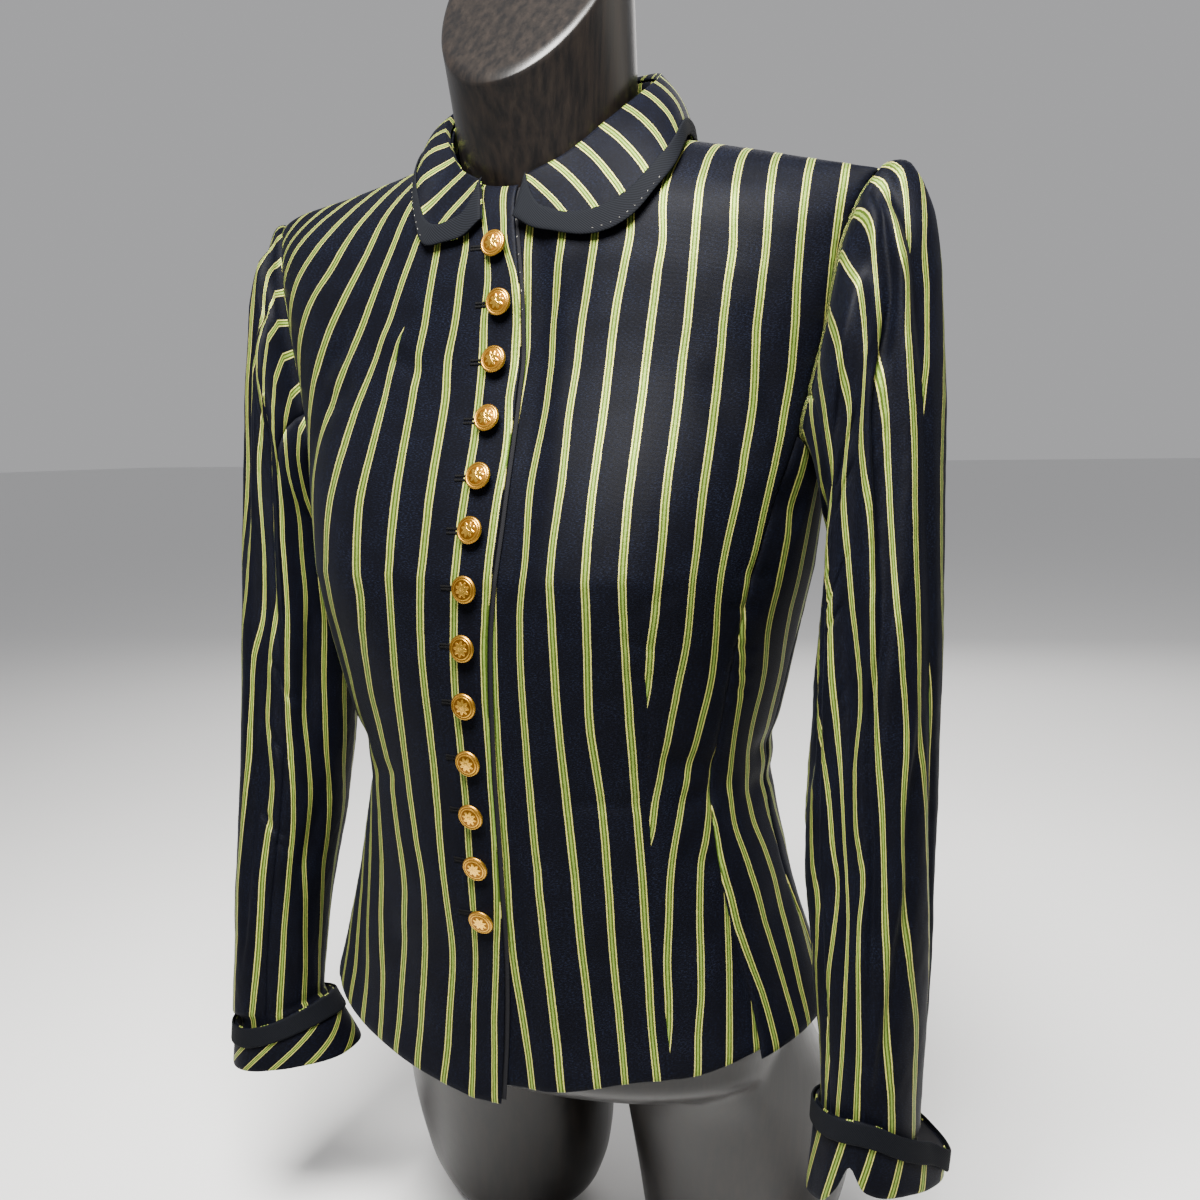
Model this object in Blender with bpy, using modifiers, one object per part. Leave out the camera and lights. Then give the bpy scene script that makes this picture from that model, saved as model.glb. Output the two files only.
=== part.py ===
"""A fitted, striped jacket with thirteen buttons, standing on a limbless dress form.

Metres, +Z up. The wearer faces -Y, so the wearer's left is +X. The origin is on the
ground under the middle of the whole, and the form stands on its two flat thigh soles.

Every body panel is a grid on one surface, torso(), whose place is given by an angle
round the body (0 at the centre front, 90 degrees at the wearer's left side, 180 at the
centre back) and a level (the height up to the bust, and from there the way over the
shoulder to its ridge). Sleeves, cuffs and collar are sections laid along short tables.
"""

import math
from collections import namedtuple

import bmesh
import bpy
import numpy as np
from mathutils import Vector

# ---- Where the body's own datum lies in the part's frame -------------------------------
PLACE = (-0.0068, -0.0010, 0.055)

# ---- Cloth and seams ---------------------------------------------------------------
CLOTH = 0.0016
FACING_CLOTH = 0.0010
RIBBON_CLOTH = 0.0012
SEAM_GAP = 0.0003
SHOULDER_SEAM_GAP = 0.0004
ARMHOLE_GAP = 0.0020

# ---- The torso's outer surface -------------------------------------------------------
BodySection = namedtuple("BodySection", "level half_width front back")
BODY = (
    BodySection(0.095, 0.190, 0.127, 0.126),
    BodySection(0.180, 0.166, 0.119, 0.116),
    BodySection(0.250, 0.145, 0.121, 0.100),
    BodySection(0.300, 0.136, 0.123, 0.093),
    BodySection(0.360, 0.147, 0.127, 0.096),
    BodySection(0.430, 0.164, 0.128, 0.103),
    BodySection(0.490, 0.178, 0.128, 0.103),
    BodySection(0.540, 0.192, 0.128, 0.103),
    BodySection(0.600, 0.203, 0.128, 0.103),
    BodySection(0.690, 0.2127, 0.128, 0.103),
)
BUST_LEVEL = 0.430
RIDGE_LEVEL = 0.690
BUST_MOUND_HEIGHT = 0.013
BUST_MOUND_ANGLE = math.radians(42)
BUST_MOUND_SPREAD = math.radians(24)
BUST_MOUND_REACH = 0.060

# The shoulder ridge: its height falls from the neck to the shoulder tip.
RIDGE_HEIGHT = 0.690
RIDGE_FLAT = 0.070
RIDGE_SLOPE = 0.24
RIDGE_DEPTH = -0.008

# How much of the chest's and the back's depth is left at each level above the bust.
Closing = namedtuple("Closing", "level chest back")
CLOSING = (
    Closing(0.430, 1.000, 1.000),
    Closing(0.456, 0.930, 0.995),
    Closing(0.509, 0.720, 0.970),
    Closing(0.566, 0.615, 0.840),
    Closing(0.600, 0.520, 0.700),
    Closing(0.635, 0.320, 0.480),
    Closing(0.690, 0.000, 0.000),
)

# ---- Edges of the panels ------------------------------------------------------------
UNDERARM = 0.485
UNDERARM_SCOOP = 0.010
FACING_SINK = CLOTH + 0.0006
UNDER_SINK = FACING_SINK + FACING_CLOTH + 0.0005
UNDER_MARGIN = 0.012
UNDER_BLEND = 0.020
FACING_SHOW = 0.0025
FACING_WIDTH = 0.014
NECK_HALF_WIDTH = 0.0665
NECK_FRONT = 0.058
NECK_BACK = 0.056


# The hem's level round the body; the right front, on top, hangs a little lower.
Hem = namedtuple("Hem", "angle left right")
HEM = (
    Hem(0, 0.127, 0.117),
    Hem(18, 0.129, 0.125),
    Hem(36, 0.137, 0.134),
    Hem(52, 0.140, 0.141),
    Hem(70, 0.149, 0.149),
    Hem(90, 0.157, 0.157),
    Hem(115, 0.164, 0.164),
    Hem(180, 0.166, 0.166),
)

# How far each front runs past the centre, to its free edge.
Closure = namedtuple("Closure", "level overlap")
CLOSURE = (
    Closure(0.095, 0.0130),
    Closure(0.204, 0.0145),
    Closure(0.325, 0.0125),
    Closure(0.396, 0.0150),
    Closure(0.459, 0.0215),
    Closure(0.496, 0.0205),
    Closure(0.539, 0.0175),
    Closure(0.600, 0.0060),
    Closure(0.690, 0.0050),
)

SideSeam = namedtuple("SideSeam", "level front_seam back_seam")
SIDE_SEAMS = (
    SideSeam(0.095, 60.0, 108),
    SideSeam(0.172, 62.0, 99),
    SideSeam(0.238, 62.5, 92),
    SideSeam(0.319, 64.5, 92),
    SideSeam(0.380, 65.0, 96),
    SideSeam(0.436, 66.5, 103),
    SideSeam(0.466, 70.0, 108),
    SideSeam(0.485, 72.5, 110),
)
Armhole = namedtuple("Armhole", "level front_edge back_edge")
ARMHOLE = (
    Armhole(0.485, 72.5, 110),
    Armhole(0.527, 73.0, 112),
    Armhole(0.579, 72.5, 108),
    Armhole(0.606, 74.0, 103),
    Armhole(0.650, 78.0, 98),
    Armhole(0.690, 81.0, 99),
)

# ---- Collar: its turn round the neck, where it rolls over and where its edge lies ------
Collar = namedtuple(
    "Collar", "turn roll_level roll_out left_x left_y right_x right_y ribbon_start")
COLLAR = (
    Collar(12, 0.6625, 0.0075, 0.012, -0.0770, 0.010, -0.0770, 0.12),
    Collar(18, 0.6660, 0.0070, 0.024, -0.0785, 0.020, -0.0790, 0.60),
    Collar(26, 0.6705, 0.0060, 0.040, -0.0785, 0.035, -0.0790, 0.78),
    Collar(36, 0.6785, 0.0040, 0.057, -0.0775, 0.050, -0.0775, 0.82),
    Collar(48, 0.6895, 0.0025, 0.075, -0.0740, 0.061, -0.0700, 0.83),
    Collar(60, 0.7000, 0.0030, 0.091, -0.0665, 0.069, -0.0580, 0.83),
    Collar(72, 0.7095, 0.0030, 0.100, -0.0530, 0.076, -0.0430, 0.83),
    Collar(84, 0.7180, 0.0030, 0.099, -0.0340, 0.081, -0.0270, 0.83),
    Collar(96, 0.7245, 0.0030, 0.092, -0.0110, 0.083, -0.0080, 0.83),
    Collar(112, 0.7310, 0.0030, 0.083, 0.0200, 0.081, 0.0180, 0.83),
    Collar(132, 0.7370, 0.0030, 0.066, 0.0470, 0.066, 0.0460, 0.83),
    Collar(156, 0.7400, 0.0030, 0.036, 0.0670, 0.036, 0.0670, 0.83),
    Collar(180, 0.7410, 0.0030, 0.000, 0.0730, 0.000, 0.0730, 0.83),
)
COLLAR_ROLL = 0.0030
COLLAR_CLEARANCE = 0.0026
COLLAR_BOW = 0.007
STAND_LIFT = 0.0014
COLLAR_COLUMNS = 30
COLLAR_ROWS = 6

# ---- Sleeves: guide curves of the outer (crown) and inner sides ----------------------
SleeveSection = namedtuple(
    "SleeveSection", "crown_x crown_z inner_x inner_z centre_y half_depth freed")
SLEEVE = (
    SleeveSection(0.217, 0.665, 0.182, 0.470, -0.012, 0.058, 0.40),
    SleeveSection(0.229, 0.660, 0.182, 0.452, -0.013, 0.055, 0.85),
    SleeveSection(0.240, 0.632, 0.180, 0.430, -0.014, 0.052, 1.00),
    SleeveSection(0.246, 0.580, 0.176, 0.400, -0.016, 0.051, 1.00),
    SleeveSection(0.249, 0.500, 0.172, 0.360, -0.019, 0.050, 1.00),
    SleeveSection(0.250, 0.400, 0.171, 0.310, -0.024, 0.048, 1.00),
    SleeveSection(0.249, 0.310, 0.174, 0.255, -0.031, 0.045, 1.00),
    SleeveSection(0.248, 0.230, 0.180, 0.210, -0.038, 0.042, 1.00),
    SleeveSection(0.246, 0.160, 0.187, 0.155, -0.044, 0.039, 1.00),
    SleeveSection(0.244, 0.112, 0.189, 0.118, -0.047, 0.038, 1.00),
)
RIGHT_SLEEVE_PRESS = 0.014
SLEEVE_FRONT_SEAM = math.radians(122)
SLEEVE_BACK_SEAM = math.radians(-112)
SleeveFold = namedtuple("SleeveFold", "turn width depth start end")
SLEEVE_FOLDS = (
    SleeveFold(58, 16, 0.010, 0.5, 6.0),
    SleeveFold(22, 14, 0.007, 0.8, 5.0),
    SleeveFold(95, 18, 0.008, 2.0, 8.5),
    SleeveFold(-30, 16, 0.007, 1.5, 7.0),
    SleeveFold(-75, 18, 0.008, 3.0, 9.0),
    SleeveFold(150, 22, 0.008, 2.0, 7.0),
)
SLEEVE_STEPS = 16
ARMHOLE_SOFTENING = 8
TOP_SLEEVE_COLUMNS = 13
UNDER_SLEEVE_COLUMNS = 6

# ---- Cuffs: the band's upper and lower levels round the wrist, and how they stand out --
CUFF_CENTRE = {"left": (0.216, -0.047), "right": (0.2115, -0.047)}
CUFF_HALF_SIZE = (0.0300, 0.0405)
CUFF_RIBBON_WIDTH = 0.012
CUFF_RIBBON_GAP = 0.0009
CUFF_COLUMNS = 20
Cuff = namedtuple("Cuff", "turn top bottom top_out bottom_out")
LEFT_CUFF = (
    Cuff(0, 0.108, 0.083, 0.004, 0.008),
    Cuff(30, 0.118, 0.087, 0.001, 0.004),
    Cuff(60, 0.129, 0.089, 0.000, 0.002),
    Cuff(78, 0.132, 0.093, 0.000, 0.001),
    Cuff(90, 0.132, 0.109, 0.000, 0.000),
    Cuff(102, 0.132, 0.093, 0.000, 0.001),
    Cuff(120, 0.132, 0.080, 0.000, 0.003),
    Cuff(150, 0.131, 0.077, 0.000, 0.006),
    Cuff(180, 0.128, 0.078, 0.000, 0.004),
    Cuff(225, 0.119, 0.084, 0.000, 0.003),
    Cuff(270, 0.109, 0.087, 0.003, 0.006),
    Cuff(315, 0.100, 0.084, 0.008, 0.010),
    Cuff(342, 0.095, 0.080, 0.014, 0.012),
    Cuff(360, 0.108, 0.083, 0.004, 0.008),
)
RIGHT_CUFF = (
    Cuff(0, 0.107, 0.078, 0.000, 0.003),
    Cuff(60, 0.106, 0.077, 0.000, 0.003),
    Cuff(90, 0.107, 0.078, 0.000, 0.002),
    Cuff(120, 0.111, 0.080, 0.000, 0.003),
    Cuff(150, 0.116, 0.081, 0.000, 0.008),
    Cuff(180, 0.119, 0.081, 0.000, 0.016),
    Cuff(210, 0.118, 0.082, 0.000, 0.020),
    Cuff(250, 0.112, 0.084, 0.000, 0.010),
    Cuff(300, 0.108, 0.081, 0.000, 0.004),
    Cuff(360, 0.107, 0.078, 0.000, 0.003),
)

# ---- Buttons -----------------------------------------------------------------------------
BUTTON_COUNT = 13
BUTTON_FIRST_LEVEL = 0.567
BUTTON_PITCH = 0.0336
BUTTON_X = 0.001
BUTTON_DROOP_FROM = 8
BUTTON_SIDES = 12
ButtonRing = namedtuple("ButtonRing", "radius height")
BUTTON = (
    ButtonRing(0.0000, 0.0008),
    ButtonRing(0.0022, 0.0008),
    ButtonRing(0.0022, 0.0040),
    ButtonRing(0.0074, 0.0044),
    ButtonRing(0.0081, 0.0055),
    ButtonRing(0.0074, 0.0067),
    ButtonRing(0.0042, 0.0080),
    ButtonRing(0.0000, 0.0085),
)

# ---- Dress form --------------------------------------------------------------------------
SOLE_LEVEL = -PLACE[2]
FORM_COLUMNS = 36
FORM_CIRCLE = 24
FormSection = namedtuple("FormSection", "level depth share drop")
FORM = (
    FormSection(0.094, 0.030, 0.35, 0.000),
    FormSection(0.098, 0.030, 0.62, 0.000),
    FormSection(0.108, 0.030, 0.82, 0.000),
    FormSection(0.130, 0.030, 0.94, 0.000),
    FormSection(0.160, 0.026, 1.00, 0.000),
    FormSection(0.200, 0.018, 1.00, 0.000),
    FormSection(0.250, 0.011, 1.00, 0.000),
    FormSection(0.300, 0.008, 1.00, 0.000),
    FormSection(0.340, 0.008, 1.00, 0.000),
    FormSection(0.380, 0.008, 1.00, 0.000),
    FormSection(0.420, 0.008, 1.00, 0.000),
    FormSection(0.450, 0.008, 1.00, 0.000),
    FormSection(0.480, 0.008, 1.00, 0.000),
    FormSection(0.510, 0.008, 1.00, 0.000),
    FormSection(0.540, 0.008, 1.00, 0.000),
    FormSection(0.570, 0.008, 1.00, 0.000),
    FormSection(0.600, 0.008, 1.00, 0.000),
    FormSection(0.630, 0.004, 0.965, 0.004),
    FormSection(0.655, 0.001, 0.950, 0.006),
)
FORM_RIDGE_DROP = 0.008
FORM_RIDGE_SHORTER = 0.90
StumpSection = namedtuple("StumpSection", "level x y half_width half_depth")
STUMP = (
    StumpSection(SOLE_LEVEL, 0.076, 0.046, 0.026, 0.026),
    StumpSection(-0.052, 0.077, 0.050, 0.034, 0.034),
    StumpSection(-0.044, 0.081, 0.060, 0.050, 0.049),
    StumpSection(-0.028, 0.087, 0.068, 0.064, 0.060),
    StumpSection(-0.005, 0.090, 0.071, 0.0715, 0.067),
    StumpSection(0.020, 0.091, 0.069, 0.0750, 0.071),
    StumpSection(0.045, 0.0905, 0.064, 0.0755, 0.073),
    StumpSection(0.075, 0.0885, 0.055, 0.0735, 0.075),
    StumpSection(0.105, 0.0850, 0.038, 0.068, 0.077),
    StumpSection(0.150, 0.079, 0.014, 0.061, 0.078),
)
NECK_BASE = (0.0, -0.009, 0.655)
NECK_BASE_SIZE = (0.0560, 0.0505)
NECK_TOP = (0.0, -0.026, 0.791)
NECK_TOP_RADIUS = 0.0585
NECK_CAP_SLOPE = 1.327
NECK_RIM = 0.004

# ---- Materials: colour, roughness, metallic ------------------------------------------
FINISHES = {
    "striped satin": ((0.020, 0.022, 0.032), 0.55, 0.0),
    "black facing": ((0.010, 0.010, 0.012), 0.70, 0.0),
    "black twill ribbon": ((0.008, 0.008, 0.010), 0.80, 0.0),
    "gilt metal": ((0.80, 0.52, 0.16), 0.30, 1.0),
    "dark stained wood": ((0.030, 0.020, 0.016), 0.35, 0.0),
}


def along(table, column, position):
    """Reads a column of a table at a position in its first column, on a smooth curve."""
    x = np.array([row[0] for row in table], float)
    y = np.array([getattr(row, column) for row in table], float)
    return smooth_curve(x, y, position)


def smooth_curve(x, y, position):
    """A cubic curve through points, with the slopes of their neighbours."""
    slope = np.gradient(y, x)
    p = np.clip(position, x[0], x[-1])
    i = np.clip(np.searchsorted(x, p, side="right") - 1, 0, len(x) - 2)
    h = x[i + 1] - x[i]
    t = (p - x[i]) / h
    return ((2 * t**3 - 3 * t**2 + 1) * y[i] + (t**3 - 2 * t**2 + t) * h * slope[i]
            + (3 * t**2 - 2 * t**3) * y[i + 1] + (t**3 - t**2) * h * slope[i + 1])


def ease(value):
    """A soft step from 0 to 1."""
    t = np.clip(value, 0.0, 1.0)
    return t * t * (3 - 2 * t)


def torso_point(angle, level):
    """The outer surface of the body at an angle and a level."""
    angle, level = np.broadcast_arrays(np.asarray(angle, float), np.asarray(level, float))
    half_width = along(BODY, "half_width", level)
    mound = BUST_MOUND_HEIGHT * np.exp(
        -((np.abs(angle) - BUST_MOUND_ANGLE) / BUST_MOUND_SPREAD) ** 2
        - ((np.minimum(level, RIDGE_LEVEL) - BUST_LEVEL) / BUST_MOUND_REACH) ** 2)
    front = along(BODY, "front", level) + mound
    back = along(BODY, "back", level)
    cosine = np.cos(angle)
    x = half_width * np.sin(angle)
    y = np.where(cosine > 0, -front * cosine, -back * cosine)
    rise = np.clip((level - BUST_LEVEL) / (RIDGE_LEVEL - BUST_LEVEL), 0, 1)
    t = np.sin(rise * math.pi / 2)
    backness = ease((np.abs(angle) - math.radians(60)) / math.radians(60))
    chest = along(CLOSING, "chest", level)
    closing = chest + (along(CLOSING, "back", level) - chest) * backness
    y = np.where(rise > 0, RIDGE_DEPTH + (y - RIDGE_DEPTH) * closing, y)
    ridge = RIDGE_HEIGHT - RIDGE_SLOPE * np.maximum(np.abs(x) - RIDGE_FLAT, 0)
    z = np.where(rise > 0, BUST_LEVEL + (ridge - BUST_LEVEL) * t, level)
    return np.stack([x, y, z], -1)


def torso(angle, level, depth=0.0):
    """A point of the body, moved inward by a depth along the surface's own normal."""
    angle, level = np.broadcast_arrays(np.asarray(angle, float), np.asarray(level, float))
    step = 0.002
    inner_level = np.clip(level, 0.0, RIDGE_LEVEL - 2 * step)
    across = torso_point(angle + 0.01, inner_level) - torso_point(angle - 0.01, inner_level)
    up = torso_point(angle, inner_level + step) - torso_point(angle, inner_level - step)
    normal = np.cross(across, up)
    normal[..., 1] *= np.clip((RIDGE_LEVEL - level) / 0.03, 0, 1)
    normal /= np.linalg.norm(normal, axis=-1, keepdims=True)
    return torso_point(angle, level) - normal * np.asarray(depth)[..., None]


def hem_level(angle, side=1):
    """The hem's level at an angle, on the wearer's left (side 1) or right (side -1)."""
    column = "left" if side > 0 else "right"
    return along(HEM, column, np.degrees(np.abs(angle)))


def free_edge(level):
    """The angle at which a front ends, past the centre."""
    half_width = along(BODY, "half_width", level)
    return -np.arcsin(along(CLOSURE, "overlap", level) / half_width)


def on_shoulders(x, y):
    """Angle and level of the point of the shoulders, chest or upper back above (x, y)."""
    ahead = y < RIDGE_DEPTH
    low = np.full(x.shape, BUST_LEVEL)
    high = np.full(x.shape, RIDGE_LEVEL)
    for _ in range(40):
        level = (low + high) / 2
        angle = np.arcsin(x / along(BODY, "half_width", level))
        angle = np.where(ahead, angle, math.pi - angle)
        found = torso_point(angle, level)[..., 1]
        climbs = np.where(ahead, found < y, found > y)
        low = np.where(climbs, level, low)
        high = np.where(climbs, high, level)
    return angle, level


def neck_plan(turn, outward=0.0):
    """The neckline seen from above at a turn round the neck (0 front, pi back)."""
    cosine = np.cos(turn)
    depth = np.where(cosine > 0, NECK_FRONT, NECK_BACK) + outward
    return (NECK_HALF_WIDTH + outward) * np.sin(turn), RIDGE_DEPTH - depth * cosine


def neckline(turn):
    """Angle and level on the body at a turn round the neck (0 front, pi back)."""
    x, y = neck_plan(np.asarray(turn, float))
    return on_shoulders(x, y)


# ---- Making walls --------------------------------------------------------------------
def cloth_wall(name, outer, inner, finish, closed=False):
    """A closed wall between two grids of points, rows upward and columns to the left."""
    rows, columns = outer.shape[:2]
    mesh = bmesh.new()
    skins = []
    for grid in (outer, inner):
        skins.append([[mesh.verts.new(point) for point in row] for row in grid])
    last = columns if closed else columns - 1
    for i in range(rows - 1):
        for j in range(last):
            k = (j + 1) % columns
            for skin in skins:
                mesh.faces.new((skin[i][j], skin[i][k], skin[i + 1][k], skin[i + 1][j]))
    edges = []
    for j in range(last):
        k = (j + 1) % columns
        edges.append(((0, j), (0, k)))
        edges.append(((rows - 1, j), (rows - 1, k)))
    if not closed:
        for i in range(rows - 1):
            edges.append(((i, 0), (i + 1, 0)))
            edges.append(((i, last), (i + 1, last)))
    for (a, b), (c, d) in edges:
        mesh.faces.new((skins[0][a][b], skins[0][c][d], skins[1][c][d], skins[1][a][b]))
    bmesh.ops.recalc_face_normals(mesh, faces=mesh.faces)
    return add_object(name, mesh, finish)


def add_object(name, mesh, finish):
    """Puts a finished bmesh in the jacket's collection as a named object."""
    data = bpy.data.meshes.new(name)
    bmesh.ops.translate(mesh, verts=mesh.verts, vec=PLACE)
    mesh.to_mesh(data)
    mesh.free()
    data.shade_smooth()
    data.set_sharp_from_angle(angle=math.radians(50))
    data.materials.append(material(finish))
    thing = bpy.data.objects.new(name, data)
    bpy.data.collections["jacket on a dress form"].objects.link(thing)
    return thing


def material(finish):
    """The Principled material of a finish, made once."""
    found = bpy.data.materials.get(finish)
    if found:
        return found
    colour, roughness, metallic = FINISHES[finish]
    made = bpy.data.materials.new(finish)
    made.use_nodes = True
    shader = made.node_tree.nodes["Principled BSDF"]
    shader.inputs["Base Color"].default_value = (*colour, 1)
    shader.inputs["Roughness"].default_value = roughness
    shader.inputs["Metallic"].default_value = metallic
    return made


# ---- Body panels -----------------------------------------------------------------------
BODY_ROWS = 10
SHOULDER_ROWS = 8
NECK_COLUMNS = 6
SHOULDER_COLUMNS = 6
SIDE_COLUMNS = 5
BACK_NECK_COLUMNS = 3
BACK_SHOULDER_COLUMNS = 5


def seam_angle(column, level, low_table=SIDE_SEAMS, high_table=ARMHOLE):
    """The angle of a front or back seam, and above the underarm of the armhole's edge."""
    side_column, hole_column = column
    below = np.radians(along(low_table, side_column, np.minimum(level, UNDERARM)))
    above = np.radians(along(high_table, hole_column, np.maximum(level, UNDERARM)))
    return np.where(level < UNDERARM, below, above)


def front_grid(side):
    """Angles and levels of a front, from its free edge to its side seam and armhole."""
    start = math.asin(-CLOSURE[-2].overlap / NECK_HALF_WIDTH)
    turns = np.linspace(start, math.pi / 2, NECK_COLUMNS + 1)
    neck_angle, neck_level = neckline(turns[:-1])
    tip = math.radians(ARMHOLE[-1].front_edge)
    neck_side = math.asin(NECK_HALF_WIDTH / BODY[-1].half_width)
    top_angle = np.r_[neck_angle, np.linspace(neck_side, tip, SHOULDER_COLUMNS + 1)]
    top_level = np.r_[neck_level, np.full(SHOULDER_COLUMNS + 1, RIDGE_LEVEL)]
    share = np.linspace(0, 1, len(top_angle))
    return panel_grid(top_angle, top_level, share, ("front_seam", "front_edge"), side,
                      free_edge)


def panel_grid(top_angle, top_level, share, seam, side, middle_edge):
    """Rows from the hem to the underarm, then on to the neckline and shoulder seam."""
    gap = SEAM_GAP / 2 / BODY[0].half_width
    side_sign = 1 if seam[0] == "front_seam" else -1
    edge_top = middle_edge(top_level[0])
    top_share = (top_angle - edge_top) / (top_angle[-1] - edge_top)
    angles, levels = [], []
    for row in range(BODY_ROWS + SHOULDER_ROWS + 1):
        climb = max(row - BODY_ROWS, 0) / SHOULDER_ROWS
        mix = ease(climb)
        column_share = share * (1 - mix) + top_share * mix
        level = UNDERARM + (top_level - UNDERARM) * climb
        if row < BODY_ROWS:
            level = np.full(len(share), UNDERARM)
        left = middle_edge(level)
        right = seam_angle(seam, level) - side_sign * gap
        angle = left + (right - left) * column_share
        if row < BODY_ROWS:
            hem = hem_level(np.maximum(angle, 0), side)
            level = hem + (UNDERARM - hem) * row / BODY_ROWS
            left, right = middle_edge(level), seam_angle(seam, level) - side_sign * gap
            angle = left + (right - left) * column_share
        angles.append(angle)
        levels.append(level)
    return np.array(angles), np.array(levels)


def back_grid():
    """Angles and levels of a back, from the centre back to its side seam and armhole."""
    turns = np.linspace(math.pi, math.pi / 2, BACK_NECK_COLUMNS + 1)
    neck_angle, neck_level = neckline(turns[:-1])
    tip = math.radians(ARMHOLE[-1].back_edge)
    neck_side = math.pi - math.asin(NECK_HALF_WIDTH / BODY[-1].half_width)
    top_angle = np.r_[neck_angle, np.linspace(neck_side, tip, BACK_SHOULDER_COLUMNS + 1)]
    top_level = np.r_[neck_level, np.full(BACK_SHOULDER_COLUMNS + 1, RIDGE_LEVEL)]
    share = np.linspace(0, 1, len(top_angle))
    half_gap = SEAM_GAP / 2
    return panel_grid(top_angle, top_level, share, ("back_seam", "back_edge"), 1,
                      lambda level: math.pi - half_gap / along(BODY, "back", level))


def side_grid():
    """Angles and levels of a side panel, up to the scoop under the arm."""
    gap = SEAM_GAP / 2 / BODY[0].half_width
    angles, levels = [], []
    share = np.linspace(0, 1, SIDE_COLUMNS + 1)
    for row in range(BODY_ROWS + 1):
        level = np.full(SIDE_COLUMNS + 1, UNDERARM)
        for _ in range(2):
            front = seam_angle(("front_seam", "front_edge"), np.minimum(level, UNDERARM - 1e-6))
            back = seam_angle(("back_seam", "back_edge"), np.minimum(level, UNDERARM - 1e-6))
            angle = front + gap + (back - front - 2 * gap) * share
            top = UNDERARM - UNDERARM_SCOOP * np.sin(share * math.pi)
            hem = hem_level(angle)
            level = hem + (top - hem) * row / BODY_ROWS
        angles.append(angle)
        levels.append(level)
    return np.array(angles), np.array(levels)


def body_wall(name, angle, level, side, shift=0.0, sink=0.0, wall=CLOTH,
              finish="striped satin"):
    """A panel's wall on the torso; side -1 mirrors it to the wearer's right."""
    outer = torso(angle, level, sink)
    inner = torso(angle, level, sink + wall)
    for grid in (outer, inner):
        grid[..., 0] *= side
        grid[..., 1] += shift
    return cloth_wall(name, outer, inner, finish)


def make_body():
    """Fronts, side panels and backs, and the facing that shows at the closing."""
    shift = SHOULDER_SEAM_GAP / 2
    angle, level = front_grid(-1)
    body_wall("front_right", angle, level, -1, -shift)
    angle, level = front_grid(1)
    past = angle - free_edge(level)
    reach = along(BODY, "half_width", level) * past
    covered = 2 * along(CLOSURE, "overlap", level) + UNDER_MARGIN
    sink = UNDER_SINK * (1 - ease((reach - covered) / UNDER_BLEND))
    body_wall("front_left", angle, level, 1, -shift, sink)
    angle, level = back_grid()
    body_wall("back_right", angle, level, -1, shift)
    body_wall("back_left", angle, level, 1, shift)
    angle, level = side_grid()
    body_wall("side_right", angle, level, -1)
    body_wall("side_left", angle, level, 1)
    make_facing()


def make_facing():
    """The dark facing strip that shows past the free edge of the top front."""
    angles, levels = [], []
    hem = hem_level(0.0, -1) + 0.002
    for past in (FACING_SHOW, FACING_SHOW / 2 - FACING_WIDTH / 2, -FACING_WIDTH):
        overlap = CLOSURE[-2].overlap + past
        top = neckline(np.array([math.asin(overlap / NECK_HALF_WIDTH)]))[1][0]
        level = np.r_[np.linspace(hem, UNDERARM, BODY_ROWS + 1),
                      np.linspace(UNDERARM, top, SHOULDER_ROWS + 1)[1:]]
        x = along(CLOSURE, "overlap", level) + past
        angles.append(np.arcsin(x / along(BODY, "half_width", level)))
        levels.append(level)
    body_wall("front_facing", np.stack(angles, 1), np.stack(levels, 1), 1,
              -SHOULDER_SEAM_GAP / 2, FACING_SINK, FACING_CLOTH, "black facing")


# ---- Sleeves ---------------------------------------------------------------------------
def armhole_loop(samples=60):
    """The armhole from the shoulder tip down the front, under the arm and up the back."""
    level = np.linspace(RIDGE_LEVEL, UNDERARM, samples)
    front = seam_angle(("front_seam", "front_edge"), np.maximum(level, UNDERARM))
    back = seam_angle(("back_seam", "back_edge"), np.maximum(level, UNDERARM))
    share = np.linspace(0, 1, samples // 2)
    scoop_angle = front[-1] + (back[-1] - front[-1]) * share
    scoop_level = UNDERARM - UNDERARM_SCOOP * np.sin(share * math.pi)
    angle = np.r_[front, scoop_angle[1:-1], back[::-1]]
    height = np.r_[level, scoop_level[1:-1], level[::-1]]
    points = torso_point(angle, height)
    steps = np.linalg.norm(np.diff(points, axis=0), axis=1)
    length = np.r_[0, np.cumsum(steps)]
    lowest = length[samples + samples // 4 - 1] / length[-1]
    even = np.linspace(0, 1, 2 * samples + 1)
    points = np.stack([np.interp(even * length[-1], length, points[:, k])
                       for k in range(3)], -1)[:-1]
    for _ in range(ARMHOLE_SOFTENING):
        points = (np.roll(points, 1, 0) + 2 * points + np.roll(points, -1, 0)) / 4
    points = np.r_[points, points[:1]]
    turn = math.pi * np.where(even <= lowest, even / lowest,
                              1 + (even - lowest) / (1 - lowest))
    return turn, points


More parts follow.
